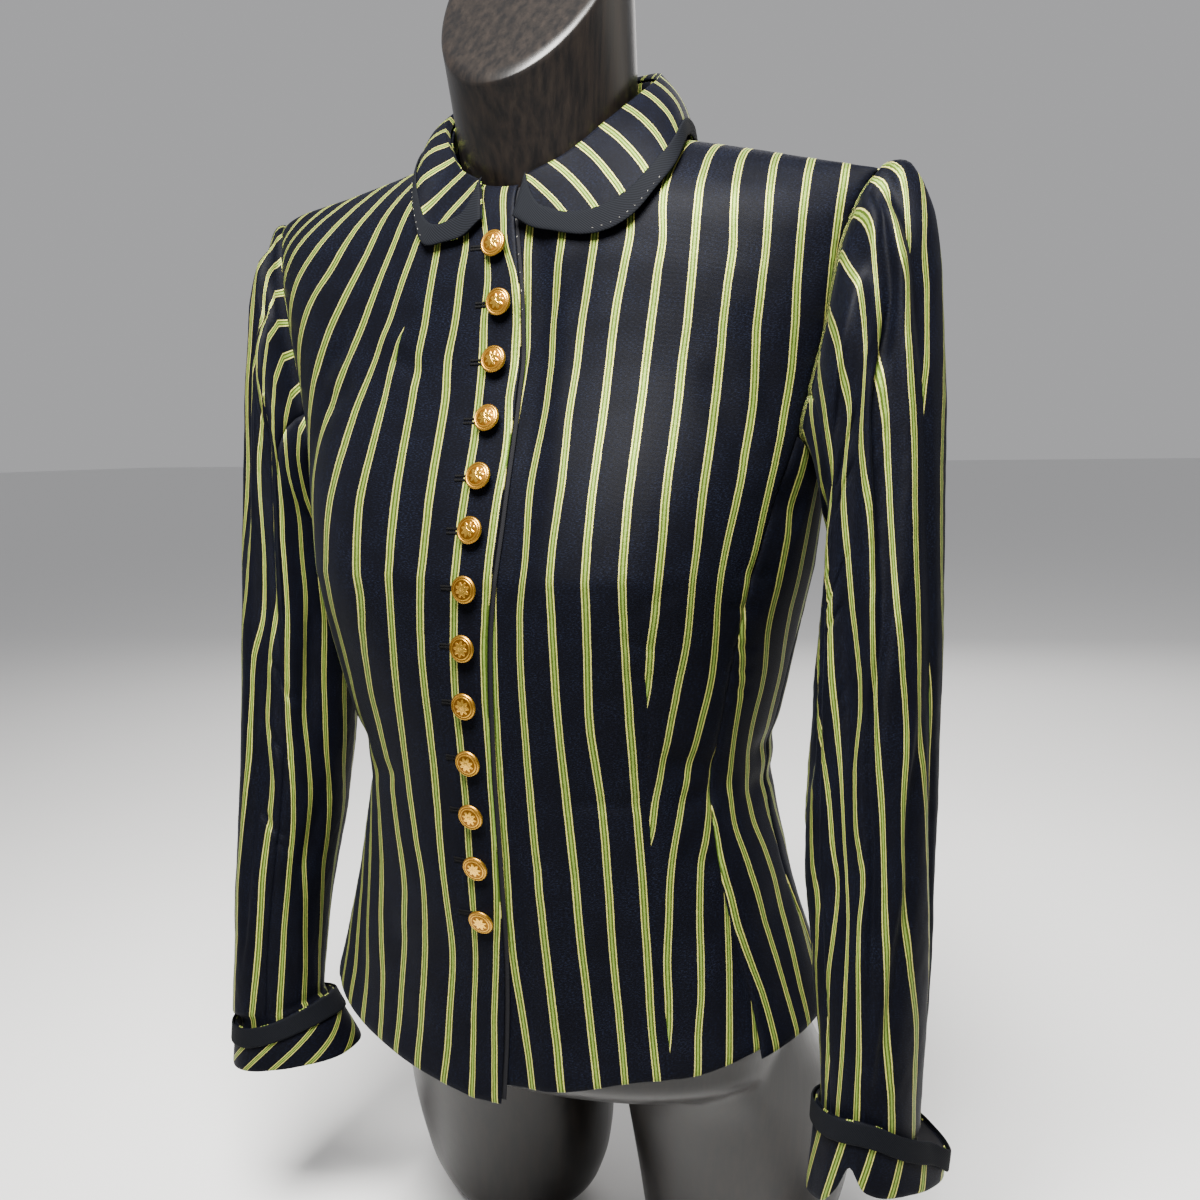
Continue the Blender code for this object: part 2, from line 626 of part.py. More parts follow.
def sleeve_point(turn, step, press=0.0):
    """The sleeve's surface: turn 0 at the crown, 90 degrees in front, 180 inside."""
    turn, step = np.broadcast_arrays(np.asarray(turn, float), np.asarray(step, float))
    rows = np.arange(len(SLEEVE) + 1)
    loop_turn, loop = armhole_loop()
    wrapped = np.mod(turn, 2 * math.pi)
    hole = np.stack([np.interp(wrapped, loop_turn, loop[:, k]) for k in range(3)], -1)
    hole = hole + np.array([ARMHOLE_GAP, 0, ARMHOLE_GAP * 0.3])

    def read(column):
        values = np.array([getattr(row, column) for row in SLEEVE])
        values = np.r_[values[0], values]
        return smooth_curve(rows.astype(float), values, step)

    pressed = press * ease(step / 3) * ease((len(SLEEVE) - step) / 4)
    crown = np.stack([read("crown_x") - pressed, read("crown_z")], -1)
    inner = np.stack([read("inner_x"), read("inner_z")], -1)
    fold = np.zeros(turn.shape)
    for row in SLEEVE_FOLDS:
        away = np.mod(turn - math.radians(row.turn) + math.pi, 2 * math.pi) - math.pi
        reach = ease((step - row.start) / 1.2) * ease((row.end - step) / 1.5)
        fold += row.depth * reach * np.exp(-(away / math.radians(row.width)) ** 2)
    middle = (crown + inner) / 2
    half = (crown - inner) / 2
    size = np.linalg.norm(half, axis=-1, keepdims=True)
    swell = 1 - fold / 0.045
    ring = middle + half * (np.cos(turn) * swell)[..., None]
    y = read("centre_y") - read("half_depth") * np.sin(turn) * swell
    free = np.stack([ring[..., 0], y, ring[..., 1]], -1)
    freed = np.r_[0.0, [row.freed for row in SLEEVE]]
    weight = np.interp(step, rows, freed)[..., None]
    return hole * (1 - weight) + free * weight


def sleeve(turn, step, depth=0.0, press=0.0):
    """A point of the sleeve, moved inward by a depth along its normal."""
    turn, step = np.broadcast_arrays(np.asarray(turn, float), np.asarray(step, float))
    last = len(SLEEVE)
    middle = np.clip(step, 0.05, last - 0.05)
    around = sleeve_point(turn + 0.02, middle, press) - sleeve_point(turn - 0.02, middle, press)
    down = sleeve_point(turn, middle + 0.05, press) - sleeve_point(turn, middle - 0.05, press)
    normal = np.cross(around, down)
    normal /= np.linalg.norm(normal, axis=-1, keepdims=True)
    return sleeve_point(turn, step, press) - normal * np.asarray(depth)[..., None]


def sleeve_wall(name, first, last, columns, side, end_step=len(SLEEVE)):
    """One of the two panels of a sleeve, between two turns round the arm."""
    share = np.linspace(0, 1, SLEEVE_STEPS + 1)
    step = end_step * share ** 1.25
    turn = np.linspace(first, last, columns + 1)
    nearest = np.argmin(np.abs(turn))
    if first < 0 < last:
        turn = np.r_[np.linspace(first, 0, nearest + 1),
                     np.linspace(0, last, columns - nearest + 1)[1:]]
    step, turn = np.meshgrid(step, turn, indexing="ij")
    press = RIGHT_SLEEVE_PRESS if side < 0 else 0.0
    outer = sleeve(turn, step, 0.0, press)
    inner = sleeve(turn, step, CLOTH, press)
    for grid in (outer, inner):
        grid[..., 0] *= side
    return cloth_wall(name, outer, inner, "striped satin")


def make_sleeves():
    """The upper and under sleeve of each arm."""
    gap = SEAM_GAP / 2 / 0.040
    for label, side in (("right", -1), ("left", 1)):
        sleeve_wall("sleeve_top_" + label, SLEEVE_BACK_SEAM + gap, SLEEVE_FRONT_SEAM - gap,
                    TOP_SLEEVE_COLUMNS, side)
        sleeve_wall("sleeve_under_" + label, SLEEVE_FRONT_SEAM + gap,
                    SLEEVE_BACK_SEAM + 2 * math.pi - gap, UNDER_SLEEVE_COLUMNS, side)


# ---- Collar ----------------------------------------------------------------------------
def collar_point(turn, share):
    """The fall's outer surface, from inside the neck (share 0) to its outer edge (1)."""
    turn, share = np.broadcast_arrays(np.asarray(turn, float), np.asarray(share, float))
    mirror = np.where(turn > math.pi, -1.0, 1.0)
    half_turn = np.where(turn > math.pi, 2 * math.pi - turn, turn)
    degrees = np.degrees(half_turn)
    roll_out = along(COLLAR, "roll_out", degrees)
    roll_level = along(COLLAR, "roll_level", degrees)
    x, y = neck_plan(half_turn, roll_out - COLLAR_ROLL)
    root = np.stack([x, y, roll_level - COLLAR_ROLL], -1)
    x, y = neck_plan(half_turn, roll_out)
    roll = np.stack([x, y, roll_level], -1)
    edge_x = np.where(mirror > 0, along(COLLAR, "left_x", degrees),
                      along(COLLAR, "right_x", degrees))
    edge_y = np.where(mirror > 0, along(COLLAR, "left_y", degrees),
                      along(COLLAR, "right_y", degrees))
    angle, level = on_shoulders(edge_x, edge_y)
    edge = torso(angle, level, -COLLAR_CLEARANCE - CLOTH)
    bow = np.stack([np.sin(half_turn), -np.cos(half_turn), np.full(turn.shape, 0.8)], -1)
    bow *= COLLAR_BOW * ease((half_turn - math.radians(COLLAR[0].turn)) / 0.8)[..., None]
    middle = (roll + edge) / 2 + bow
    t = np.clip((share - 0.12) / 0.88, 0, None)[..., None]
    fall = (1 - t) ** 2 * roll + 2 * t * (1 - t) * middle + t * t * edge
    start = np.clip(share / 0.12, 0, 1)[..., None]
    point = np.where(start < 1, root + (roll - root) * start, fall)
    point[..., 0] *= mirror
    return point


def collar(turn, share, depth=0.0):
    """A point of the collar's fall, moved inward by a depth along its normal."""
    turn, share = np.broadcast_arrays(np.asarray(turn, float), np.asarray(share, float))
    middle = np.clip(share, 0.02, 2.0)
    around = collar_point(turn + 0.01, middle) - collar_point(turn - 0.01, middle)
    down = collar_point(turn, middle + 0.02) - collar_point(turn, middle - 0.02)
    normal = np.cross(down, around)
    normal /= np.linalg.norm(normal, axis=-1, keepdims=True)
    return collar_point(turn, share) - normal * np.asarray(depth)[..., None]


def make_collar():
    """The stand round the neck, the fall over it and the ribbon along its edge."""
    start = math.radians(COLLAR[0].turn)
    turns = np.linspace(start, 2 * math.pi - start, COLLAR_COLUMNS + 1)
    turn = turns[2:-2]
    half_turn = np.where(turn > math.pi, 2 * math.pi - turn, turn)
    base = torso_point(*neckline(half_turn))[..., 2] + STAND_LIFT
    top = along(COLLAR, "roll_level", np.degrees(half_turn)) - COLLAR_ROLL - CLOTH - STAND_LIFT
    grids = []
    for inset in (0.0, CLOTH):
        x, y = neck_plan(half_turn, -inset)
        x = np.where(turn > math.pi, -x, x)
        grids.append(np.stack([np.stack([x, y, base], -1),
                               np.stack([x, y, (base + top) / 2], -1),
                               np.stack([x, y, top], -1)]))
    cloth_wall("collar_stand", *grids, "striped satin")
    share = np.r_[0, 0.12, np.linspace(0.12, 1, COLLAR_ROWS)[1:]]
    share, turn = np.meshgrid(share[::-1], turns, indexing="ij")
    cloth_wall("collar_fall", collar(turn, share), collar(turn, share, CLOTH),
               "striped satin")
    half_turn = np.where(turn > math.pi, 2 * math.pi - turn, turn)[:4]
    first = along(COLLAR, "ribbon_start", np.degrees(half_turn))
    share = first + (1.01 - first) * np.linspace(1, 0, 4)[:, None]
    lift = -SEAM_GAP
    cloth_wall("collar_ribbon", collar(turn[:4], share, lift - RIBBON_CLOTH),
               collar(turn[:4], share, lift), "black twill ribbon")


# ---- Cuffs -----------------------------------------------------------------------------
def cuff_point(centre, table, turn, share, outward=0.0):
    """A point of a cuff: share 0 at its upper edge and 1 at its lower edge."""
    degrees = np.degrees(turn)
    read = [np.interp(degrees, [row.turn for row in table], [row[k] for row in table])
            for k in range(1, 5)]
    top, bottom, top_out, bottom_out = read
    out = top_out + (bottom_out - top_out) * share + outward
    x = centre[0] + (CUFF_HALF_SIZE[0] + out) * np.cos(turn)
    y = centre[1] - (CUFF_HALF_SIZE[1] + out) * np.sin(turn)
    return np.stack([x, y, top + (bottom - top) * share], -1)


def make_cuffs():
    """The turned-back cuffs and the ribbon round the upper edge of each."""
    turn = np.linspace(0, 2 * math.pi, CUFF_COLUMNS + 1)[:-1]
    for label, side, table in (("right", -1, RIGHT_CUFF), ("left", 1, LEFT_CUFF)):
        share, turns = np.meshgrid(np.linspace(1, 0, 4), turn, indexing="ij")
        centre = CUFF_CENTRE[label]
        grids = [cuff_point(centre, table, turns, share, out) for out in (0, -CLOTH)]
        upper, lower = (cuff_point(centre, table, turns, edge)[..., 2] for edge in (0, 1))
        height = upper - lower
        band = np.minimum(CUFF_RIBBON_WIDTH / height, 0.8) * np.linspace(1, 0, 4)[:, None]
        ribbon = [cuff_point(centre, table, turns, band, out)
                  for out in (CUFF_RIBBON_GAP + RIBBON_CLOTH, CUFF_RIBBON_GAP)]
        for grid in grids + ribbon:
            grid[..., 0] *= side
        cloth_wall("cuff_" + label, *grids, "striped satin", closed=True)
        cloth_wall("cuff_ribbon_" + label, *ribbon, "black twill ribbon", closed=True)


# ---- Buttons ---------------------------------------------------------------------------
def make_buttons():
    """Thirteen domed shank buttons down the centre front, the lowest ones drooping."""
    level = np.linspace(BUTTON_FIRST_LEVEL, 0.15, 800)
    spine = torso_point(np.arcsin(BUTTON_X / along(BODY, "half_width", level)), level)
    length = np.r_[0, np.cumsum(np.linalg.norm(np.diff(spine, axis=0), axis=1))]
    for number in range(BUTTON_COUNT):
        here = np.interp(number * BUTTON_PITCH, length, level)
        angle = math.asin(BUTTON_X / along(BODY, "half_width", here))
        seat = torso(angle, here, 0.0)
        normal = torso(angle, here, -1.0) - seat
        droop = max(0, number + 1 - BUTTON_DROOP_FROM) * 0.07
        mesh = bpy.data.meshes.new("button_%02d" % (number + 1))
        points = [(ring.radius, 0, ring.height) for ring in BUTTON]
        edges = [(k, k + 1) for k in range(len(points) - 1)]
        mesh.from_pydata(points, edges, [])
        mesh.materials.append(material("gilt metal"))
        button = bpy.data.objects.new(mesh.name, mesh)
        bpy.data.collections["jacket on a dress form"].objects.link(button)
        turned = button.modifiers.new("turned", "SCREW")
        turned.steps = BUTTON_SIDES
        turned.render_steps = BUTTON_SIDES
        turned.use_merge_vertices = True
        turned.merge_threshold = 1e-5
        turned.use_smooth_shade = True
        turned.use_normal_flip = True
        outward = Vector(normal)
        outward.z -= droop
        lifted = Vector(seat) + outward.normalized() * droop * BUTTON[1].radius
        button.location = lifted + Vector(PLACE)
        button.rotation_euler = outward.to_track_quat("Z", "Y").to_euler()


# ---- Dress form ------------------------------------------------------------------------
def stack_of_rings(name, rings, ridged=False):
    """A closed solid of rings laid from the bottom up; a ridged one closes in a line."""
    mesh = bmesh.new()
    loops = [[mesh.verts.new(point) for point in ring] for ring in rings]
    count = len(loops[0])
    for lower, upper in zip(loops, loops[1:]):
        for j in range(count):
            k = (j + 1) % count
            mesh.faces.new((lower[j], lower[k], upper[k], upper[j]))
    mesh.faces.new(loops[0][::-1])
    if not ridged:
        mesh.faces.new(loops[-1])
    bmesh.ops.remove_doubles(mesh, verts=mesh.verts, dist=1e-5)
    bmesh.ops.recalc_face_normals(mesh, faces=mesh.faces)
    return add_object(name, mesh, "dark stained wood")


def make_form():
    """The torso, the leaning neck and two thigh stumps, joined into one smooth body."""
    angle = np.linspace(-math.pi, math.pi, FORM_COLUMNS + 1)[:-1]
    ridge = torso_point(angle, RIDGE_LEVEL)
    ridge[..., 0] *= FORM_RIDGE_SHORTER
    beyond = np.maximum(np.abs(ridge[..., 0]) - RIDGE_FLAT, 0)
    ridge[..., 2] = RIDGE_HEIGHT - RIDGE_SLOPE * beyond - FORM_RIDGE_DROP
    rings = []
    for row in FORM:
        ring = torso(angle, row.level, row.depth)
        ring[..., :2] *= row.share
        ring[..., 2] -= row.drop
        rings.append(ring)
    rings.append(ridge)
    body = stack_of_rings("dress_form", rings, ridged=True)
    helpers = []
    circle = np.linspace(0, 2 * math.pi, FORM_CIRCLE + 1)[:-1]
    for side in (-1, 1):
        rings = []
        for row in STUMP:
            x = side * row.x + row.half_width * np.cos(circle)
            y = row.y + row.half_depth * np.sin(circle)
            rings.append(np.stack([x, y, np.full(FORM_CIRCLE, row.level)], -1))
        helpers.append(stack_of_rings("form_stump", rings))
    rings = []
    for share in np.r_[np.linspace(0, 1, 7), 1.0, 1.0]:
        rounding = (0.0, 0.35, 1.0)[max(len(rings) - 6, 0)] * NECK_RIM
        size = [edge * (1 - share) + NECK_TOP_RADIUS * share - rounding
                for edge in NECK_BASE_SIZE]
        centre = [base * (1 - share) + top * share for base, top in zip(NECK_BASE, NECK_TOP)]
        y = centre[1] + size[1] * np.sin(circle)
        slant = NECK_CAP_SLOPE * (y - centre[1]) * share
        lift = (0.0, 0.65, 1.0)[max(len(rings) - 6, 0)] * NECK_RIM
        rings.append(np.stack([size[0] * np.cos(circle), y, centre[2] + slant + lift], -1))
    helpers.append(stack_of_rings("form_neck", rings))
    for helper in helpers:
        union = body.modifiers.new(helper.name, "BOOLEAN")
        union.operation = "UNION"
        union.solver = "EXACT"
        union.object = helper
        helper.hide_render = True
        helper.display_type = "WIRE"


def start_scene():
    """An empty scene with the jacket's collection."""
    for thing in list(bpy.data.objects):
        bpy.data.objects.remove(thing)
    group = bpy.data.collections.new("jacket on a dress form")
    bpy.context.scene.collection.children.link(group)


def main():
    """Builds every piece."""
    start_scene()
    make_body()
    make_collar()
    make_sleeves()
    make_cuffs()
    make_buttons()
    make_form()


main()
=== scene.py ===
"""A fitted, striped jacket with gilt buttons on a limbless dress form, dressed for show.

Metres, +Z up, the wearer faces -Y and the wearer's left is +X. Every cloth piece is a
thin shell on the same surface as its solid, with its folds, seams and weave added.
"""

import logging
import math
from dataclasses import dataclass, field
from enum import Enum, IntEnum
from functools import cached_property
from typing import Callable, NamedTuple, Optional, Sequence

import bpy
import numpy as np
from mathutils import Matrix, Vector


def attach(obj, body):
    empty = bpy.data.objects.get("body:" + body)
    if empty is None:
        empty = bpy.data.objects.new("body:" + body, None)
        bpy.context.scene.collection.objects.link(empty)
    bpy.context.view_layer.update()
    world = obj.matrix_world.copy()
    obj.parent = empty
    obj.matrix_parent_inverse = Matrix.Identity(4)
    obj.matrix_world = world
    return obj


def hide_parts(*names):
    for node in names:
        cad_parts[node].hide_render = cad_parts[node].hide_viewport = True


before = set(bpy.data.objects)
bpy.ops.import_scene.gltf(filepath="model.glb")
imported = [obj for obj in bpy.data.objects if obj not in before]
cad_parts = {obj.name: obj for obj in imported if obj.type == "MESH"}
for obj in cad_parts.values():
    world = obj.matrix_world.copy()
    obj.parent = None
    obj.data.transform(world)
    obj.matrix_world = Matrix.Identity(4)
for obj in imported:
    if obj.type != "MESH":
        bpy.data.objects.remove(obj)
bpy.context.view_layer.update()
LOG = logging.getLogger("jacket")

PLACE = np.array((-0.0068, -0.0010, 0.055))
CLOTH = 0.0016
RIBBON_CLOTH = 0.0012
SEAM_GAP = 0.0003
# how far an edge's middle stands out, and its two corners sink in, in walls
STANDS_OUT = 0.4
ROUNDED = 0.18
# over which share of its length a crease comes in, and how strong it starts
CREASE_END = 0.35
CREASE_START = 0.3
STRIPE_PITCH = 0.0205
MM = 0.001


class Side(Enum):
    """The wearer's two sides."""

    LEFT = 1
    RIGHT = -1

    @property
    def word(self) -> str:
        """The side's name as it stands in the names of pieces."""
        return self.name.lower()


class Held(Enum):
    """How a piece of cloth is held."""

    HUNG = "hung"
    FOLDED = "folded"
    STRETCHED = "stretched"


class Seed(IntEnum):
    """Which pattern each waviness follows."""

    BODY = 11
    BODY_CRUMPLE = 12
    FRONT_SEAM = 21
    SIDE_SEAM = 22
    DART = 23
    LEFT_SLEEVE = 31
    RIGHT_SLEEVE = 41
    COLLAR = 51
    CUFF = 61


# ---- Curves through tables ----
def smooth_curve(x: np.ndarray, y: np.ndarray, position: np.ndarray) -> np.ndarray:
    """Reads a cubic curve through points, with the slopes of their neighbours.

    Args:
        x: where the points lie, rising.
        y: their values.
        position: where to read.

    Returns:
        The curve's values.
    """
    slope = np.gradient(y, x)
    p = np.clip(position, x[0], x[-1])
    i = np.clip(np.searchsorted(x, p, side="right") - 1, 0, len(x) - 2)
    h = x[i + 1] - x[i]
    t = (p - x[i]) / h
    return ((2 * t**3 - 3 * t**2 + 1) * y[i] + (t**3 - 2 * t**2 + t) * h * slope[i]
            + (3 * t**2 - 2 * t**3) * y[i + 1] + (t**3 - t**2) * h * slope[i + 1])


def table(kind: type, *rows: tuple) -> tuple:
    """Rows with named columns.

    Args:
        kind: the rows' type.
        *rows: the values of each row.

    Returns:
        The rows.
    """
    return tuple(kind(*row) for row in rows)


def along(rows: Sequence, column: str, position: np.ndarray) -> np.ndarray:
    """Reads a column of a table at a position in its first column.

    Args:
        rows: rows with named columns, rising in the first.
        column: the column's name.
        position: where to read.

    Returns:
        The values on a smooth curve through the column.
    """
    x = np.array([row[0] for row in rows], float)
    y = np.array([getattr(row, column) for row in rows], float)
    return smooth_curve(x, y, position)


def ease(value: np.ndarray) -> np.ndarray:
    """A soft step from 0 to 1."""
    t = np.clip(value, 0.0, 1.0)
    return t * t * (3 - 2 * t)


def floats(*values: np.ndarray) -> list:
    """The values as arrays of numbers, all in one shape."""
    return np.broadcast_arrays(*(np.asarray(value, float) for value in values))


def unit(vectors: np.ndarray) -> np.ndarray:
    """The vectors, each one long."""
    return vectors / np.maximum(np.linalg.norm(vectors, axis=-1, keepdims=True), 1e-9)


def lengths(points: np.ndarray, axis: int = 0) -> np.ndarray:
    """Lengths along lines of points, from 0 at the first point of each."""
    run = np.cumsum(np.linalg.norm(np.diff(points, axis=axis), axis=-1), axis=axis)
    start = [(0, 0)] * run.ndim
    start[axis] = (1, 0)
    return np.pad(run, start)


def across_surface(surface: Callable, one: np.ndarray, two: np.ndarray,
                   reach: tuple) -> np.ndarray:
    """Directions square to a surface, from its points a little to each side.

    Args:
        surface: gives the points at a first and a second coordinate.
        one: first coordinates.
        two: second coordinates.
        reach: how far each of them goes to each side.

    Returns:
        Vectors of any length.
    """
    first = surface(one + reach[0], two) - surface(one - reach[0], two)
    second = surface(one, two + reach[1]) - surface(one, two - reach[1])
    return np.cross(first, second)


def ripple(x: np.ndarray, y: np.ndarray, size: float, seed: int) -> np.ndarray:
    """An even, unhurried waviness of about the given size.

    Args:
        x: first coordinate, in metres.
        y: second coordinate, in metres.
        size: length of a wave, in metres.
        seed: picks the pattern.

    Returns:
        Values of about -1 to 1.
    """
    rng = np.random.default_rng(seed)
    total = np.zeros(np.broadcast(x, y).shape)
    for _ in range(8):
        heading = rng.uniform(0, 2 * math.pi)
        wave = 2 * math.pi / size * rng.uniform(0.6, 1.5)
        shift = rng.uniform(0, 2 * math.pi)
        total += np.sin(wave * (x * math.cos(heading) + y * math.sin(heading)) + shift)
    return total / 4


class Crease(NamedTuple):
    """A soft fold between two points, in millimetres; a negative depth stands proud."""

    x_a: float
    y_a: float
    x_b: float
    y_b: float
    width: float
    depth: float


def creased(x: np.ndarray, y: np.ndarray, creases: Sequence[Crease]) -> np.ndarray:
    """How deep the creases lie at a place.

    Args:
        x: way across the cloth, in metres.
        y: way up the cloth, in metres.
        creases: the folds.

    Returns:
        Depths in metres.
    """
    total = np.zeros(np.broadcast(x, y).shape)
    for fold in creases:
        ax, ay, bx, by = (value * MM for value in fold[:4])
        run = math.hypot(bx - ax, by - ay)
        t = ((x - ax) * (bx - ax) + (y - ay) * (by - ay)) / run**2
        off = ((x - ax) * (by - ay) - (y - ay) * (bx - ax)) / run
        reach = (ease(t / CREASE_END + CREASE_START)
                 * ease((1 - t) / CREASE_END + CREASE_START))
        total += fold.depth * MM * reach * np.exp(-(off / (fold.width * MM)) ** 2)
    return total


# ---- The body's surface ----
class BodySection(NamedTuple):
    """The body's half width and its depths in front and behind at a level."""

    level: float
    half_width: float
    front: float
    back: float


BODY = table(
    BodySection,
    (0.095, 0.190, 0.127, 0.126),
    (0.180, 0.166, 0.119, 0.116),
    (0.250, 0.145, 0.121, 0.100),
    (0.300, 0.136, 0.123, 0.093),
    (0.360, 0.147, 0.127, 0.096),
    (0.430, 0.164, 0.128, 0.103),
    (0.490, 0.178, 0.128, 0.103),
    (0.540, 0.192, 0.128, 0.103),
    (0.600, 0.203, 0.128, 0.103),
    (0.690, 0.2127, 0.128, 0.103),
)


class Closing(NamedTuple):
    """The share of the chest's and the back's depth that is left at a level."""

    level: float
    chest: float
    back: float


CLOSING = table(
    Closing,
    (0.430, 1.000, 1.000),
    (0.456, 0.930, 0.995),
    (0.509, 0.720, 0.970),
    (0.566, 0.615, 0.840),
    (0.600, 0.520, 0.700),
    (0.635, 0.320, 0.480),
    (0.690, 0.000, 0.000),
)


@dataclass(frozen=True)
class Torso:
    """The outer surface of the jacket's body, by angle round it and level up it."""

    bust_level: float = 0.430
    ridge_level: float = 0.690
    mound_height: float = 0.013
    mound_angle: float = math.radians(42)
    mound_spread: float = math.radians(24)
    mound_reach: float = 0.060
    ridge_height: float = 0.690
    ridge_flat: float = 0.070
    ridge_slope: float = 0.24
    ridge_depth: float = -0.008
    ridge_blend: float = 0.03
    back_from: float = math.radians(60)
    reach: tuple = (0.01, 0.002)
    lowest: float = 0.08

    def point(self, angle: np.ndarray, level: np.ndarray) -> np.ndarray:
        """A point of the surface.

        Args:
            angle: 0 at the centre front, positive to the wearer's left.
            level: height up to the bust, from there the way over the shoulder.

        Returns:
            Points in the body's own datum.
        """
        angle, level = floats(angle, level)
        half_width = along(BODY, "half_width", level)
        mound = self.mound_height * np.exp(
            -((np.abs(angle) - self.mound_angle) / self.mound_spread) ** 2
            - ((np.minimum(level, self.ridge_level) - self.bust_level)
               / self.mound_reach) ** 2)
        front = along(BODY, "front", level) + mound
        back = along(BODY, "back", level)
        cosine = np.cos(angle)
        x = half_width * np.sin(angle)
        y = np.where(cosine > 0, -front * cosine, -back * cosine)
        rise = np.clip((level - self.bust_level) / (self.ridge_level - self.bust_level),
                       0, 1)
        t = np.sin(rise * math.pi / 2)
        backness = ease((np.abs(angle) - self.back_from) / self.back_from)
        chest = along(CLOSING, "chest", level)
        closing = chest + (along(CLOSING, "back", level) - chest) * backness
        y = np.where(rise > 0, self.ridge_depth + (y - self.ridge_depth) * closing, y)
        ridge = self.ridge_height - self.ridge_slope * np.maximum(
            np.abs(x) - self.ridge_flat, 0)
        z = np.where(rise > 0, self.bust_level + (ridge - self.bust_level) * t, level)
        return np.stack([x, y, z], -1)

    def inset(self, angle: np.ndarray, level: np.ndarray,
              depth: np.ndarray = 0.0) -> np.ndarray:
        """A point moved inward by a depth along the surface's own normal.

        Args:
            angle: as for point.
            level: as for point.
            depth: how far inward.

        Returns:
            Points in the body's own datum.
        """
        angle, level = floats(angle, level)
        lower = np.clip(level, 0.0, self.ridge_level - 2 * self.reach[1])
        normal = across_surface(self.point, angle, lower, self.reach)
        normal[..., 1] *= np.clip((self.ridge_level - level) / self.ridge_blend, 0, 1)
        return self.point(angle, level) - unit(normal) * np.asarray(depth)[..., None]

    @cached_property
    def _girths(self) -> tuple:
        """Lengths round the body from the centre front, on an even grid."""
        levels = np.linspace(self.lowest, self.ridge_level, 123)
        angles = np.linspace(0, math.pi, 241)
        level, angle = np.meshgrid(levels, angles, indexing="ij")
        return levels, angles, lengths(self.point(angle, level), 1)

    def girth(self, angle: np.ndarray, level: np.ndarray) -> np.ndarray:
        """The length round the body from the centre front.

        Args:
            angle: as for point.
            level: as for point.

        Returns:
            Lengths, negative on the wearer's right.
        """
        levels, angles, girths = self._girths
        i = np.clip((level - levels[0]) / (levels[1] - levels[0]), 0, len(levels) - 1.001)
        j = np.clip(np.abs(angle) / angles[1], 0, len(angles) - 1.001)
        i0, j0 = i.astype(int), j.astype(int)
        ti, tj = i - i0, j - j0
        low = girths[i0, j0] * (1 - tj) + girths[i0, j0 + 1] * tj
        high = girths[i0 + 1, j0] * (1 - tj) + girths[i0 + 1, j0 + 1] * tj
        return np.sign(angle) * (low * (1 - ti) + high * ti)


TORSO = Torso()


# ---- Edges of the panels ----
class Hem(NamedTuple):
    """The hem's level at an angle, in degrees, on each side."""

    angle: float
    left: float
    right: float


HEM = table(
    Hem,
    (0, 0.127, 0.117),
    (18, 0.129, 0.125),
    (36, 0.137, 0.134),
    (52, 0.140, 0.141),
    (70, 0.149, 0.149),
    (90, 0.157, 0.157),
    (115, 0.164, 0.164),
    (180, 0.166, 0.166),
)


class Closure(NamedTuple):
    """How far a front runs past the centre at a level."""

    level: float
    overlap: float


CLOSURE = table(
    Closure,
    (0.095, 0.0130),
    (0.204, 0.0145),
    (0.325, 0.0125),
    (0.396, 0.0150),
    (0.459, 0.0215),
    (0.496, 0.0205),
    (0.539, 0.0175),
    (0.600, 0.0060),
    (0.690, 0.0050),
)


class SideSeam(NamedTuple):
    """Where the two side seams lie at a level, in degrees."""

    level: float
    front_seam: float
    back_seam: float


SIDE_SEAMS = table(
    SideSeam,
    (0.095, 60.0, 108),
    (0.172, 62.0, 99),
    (0.238, 62.5, 92),
    (0.319, 64.5, 92),
    (0.380, 65.0, 96),
    (0.436, 66.5, 103),
    (0.466, 70.0, 108),
    (0.485, 72.5, 110),
)


class Armhole(NamedTuple):
    """Where the armhole's edges lie at a level, in degrees."""

    level: float
    front_edge: float
    back_edge: float


ARMHOLE = table(
    Armhole,
    (0.485, 72.5, 110),
    (0.527, 73.0, 112),
    (0.579, 72.5, 108),
    (0.606, 74.0, 103),
    (0.650, 78.0, 98),
    (0.690, 81.0, 99),
)


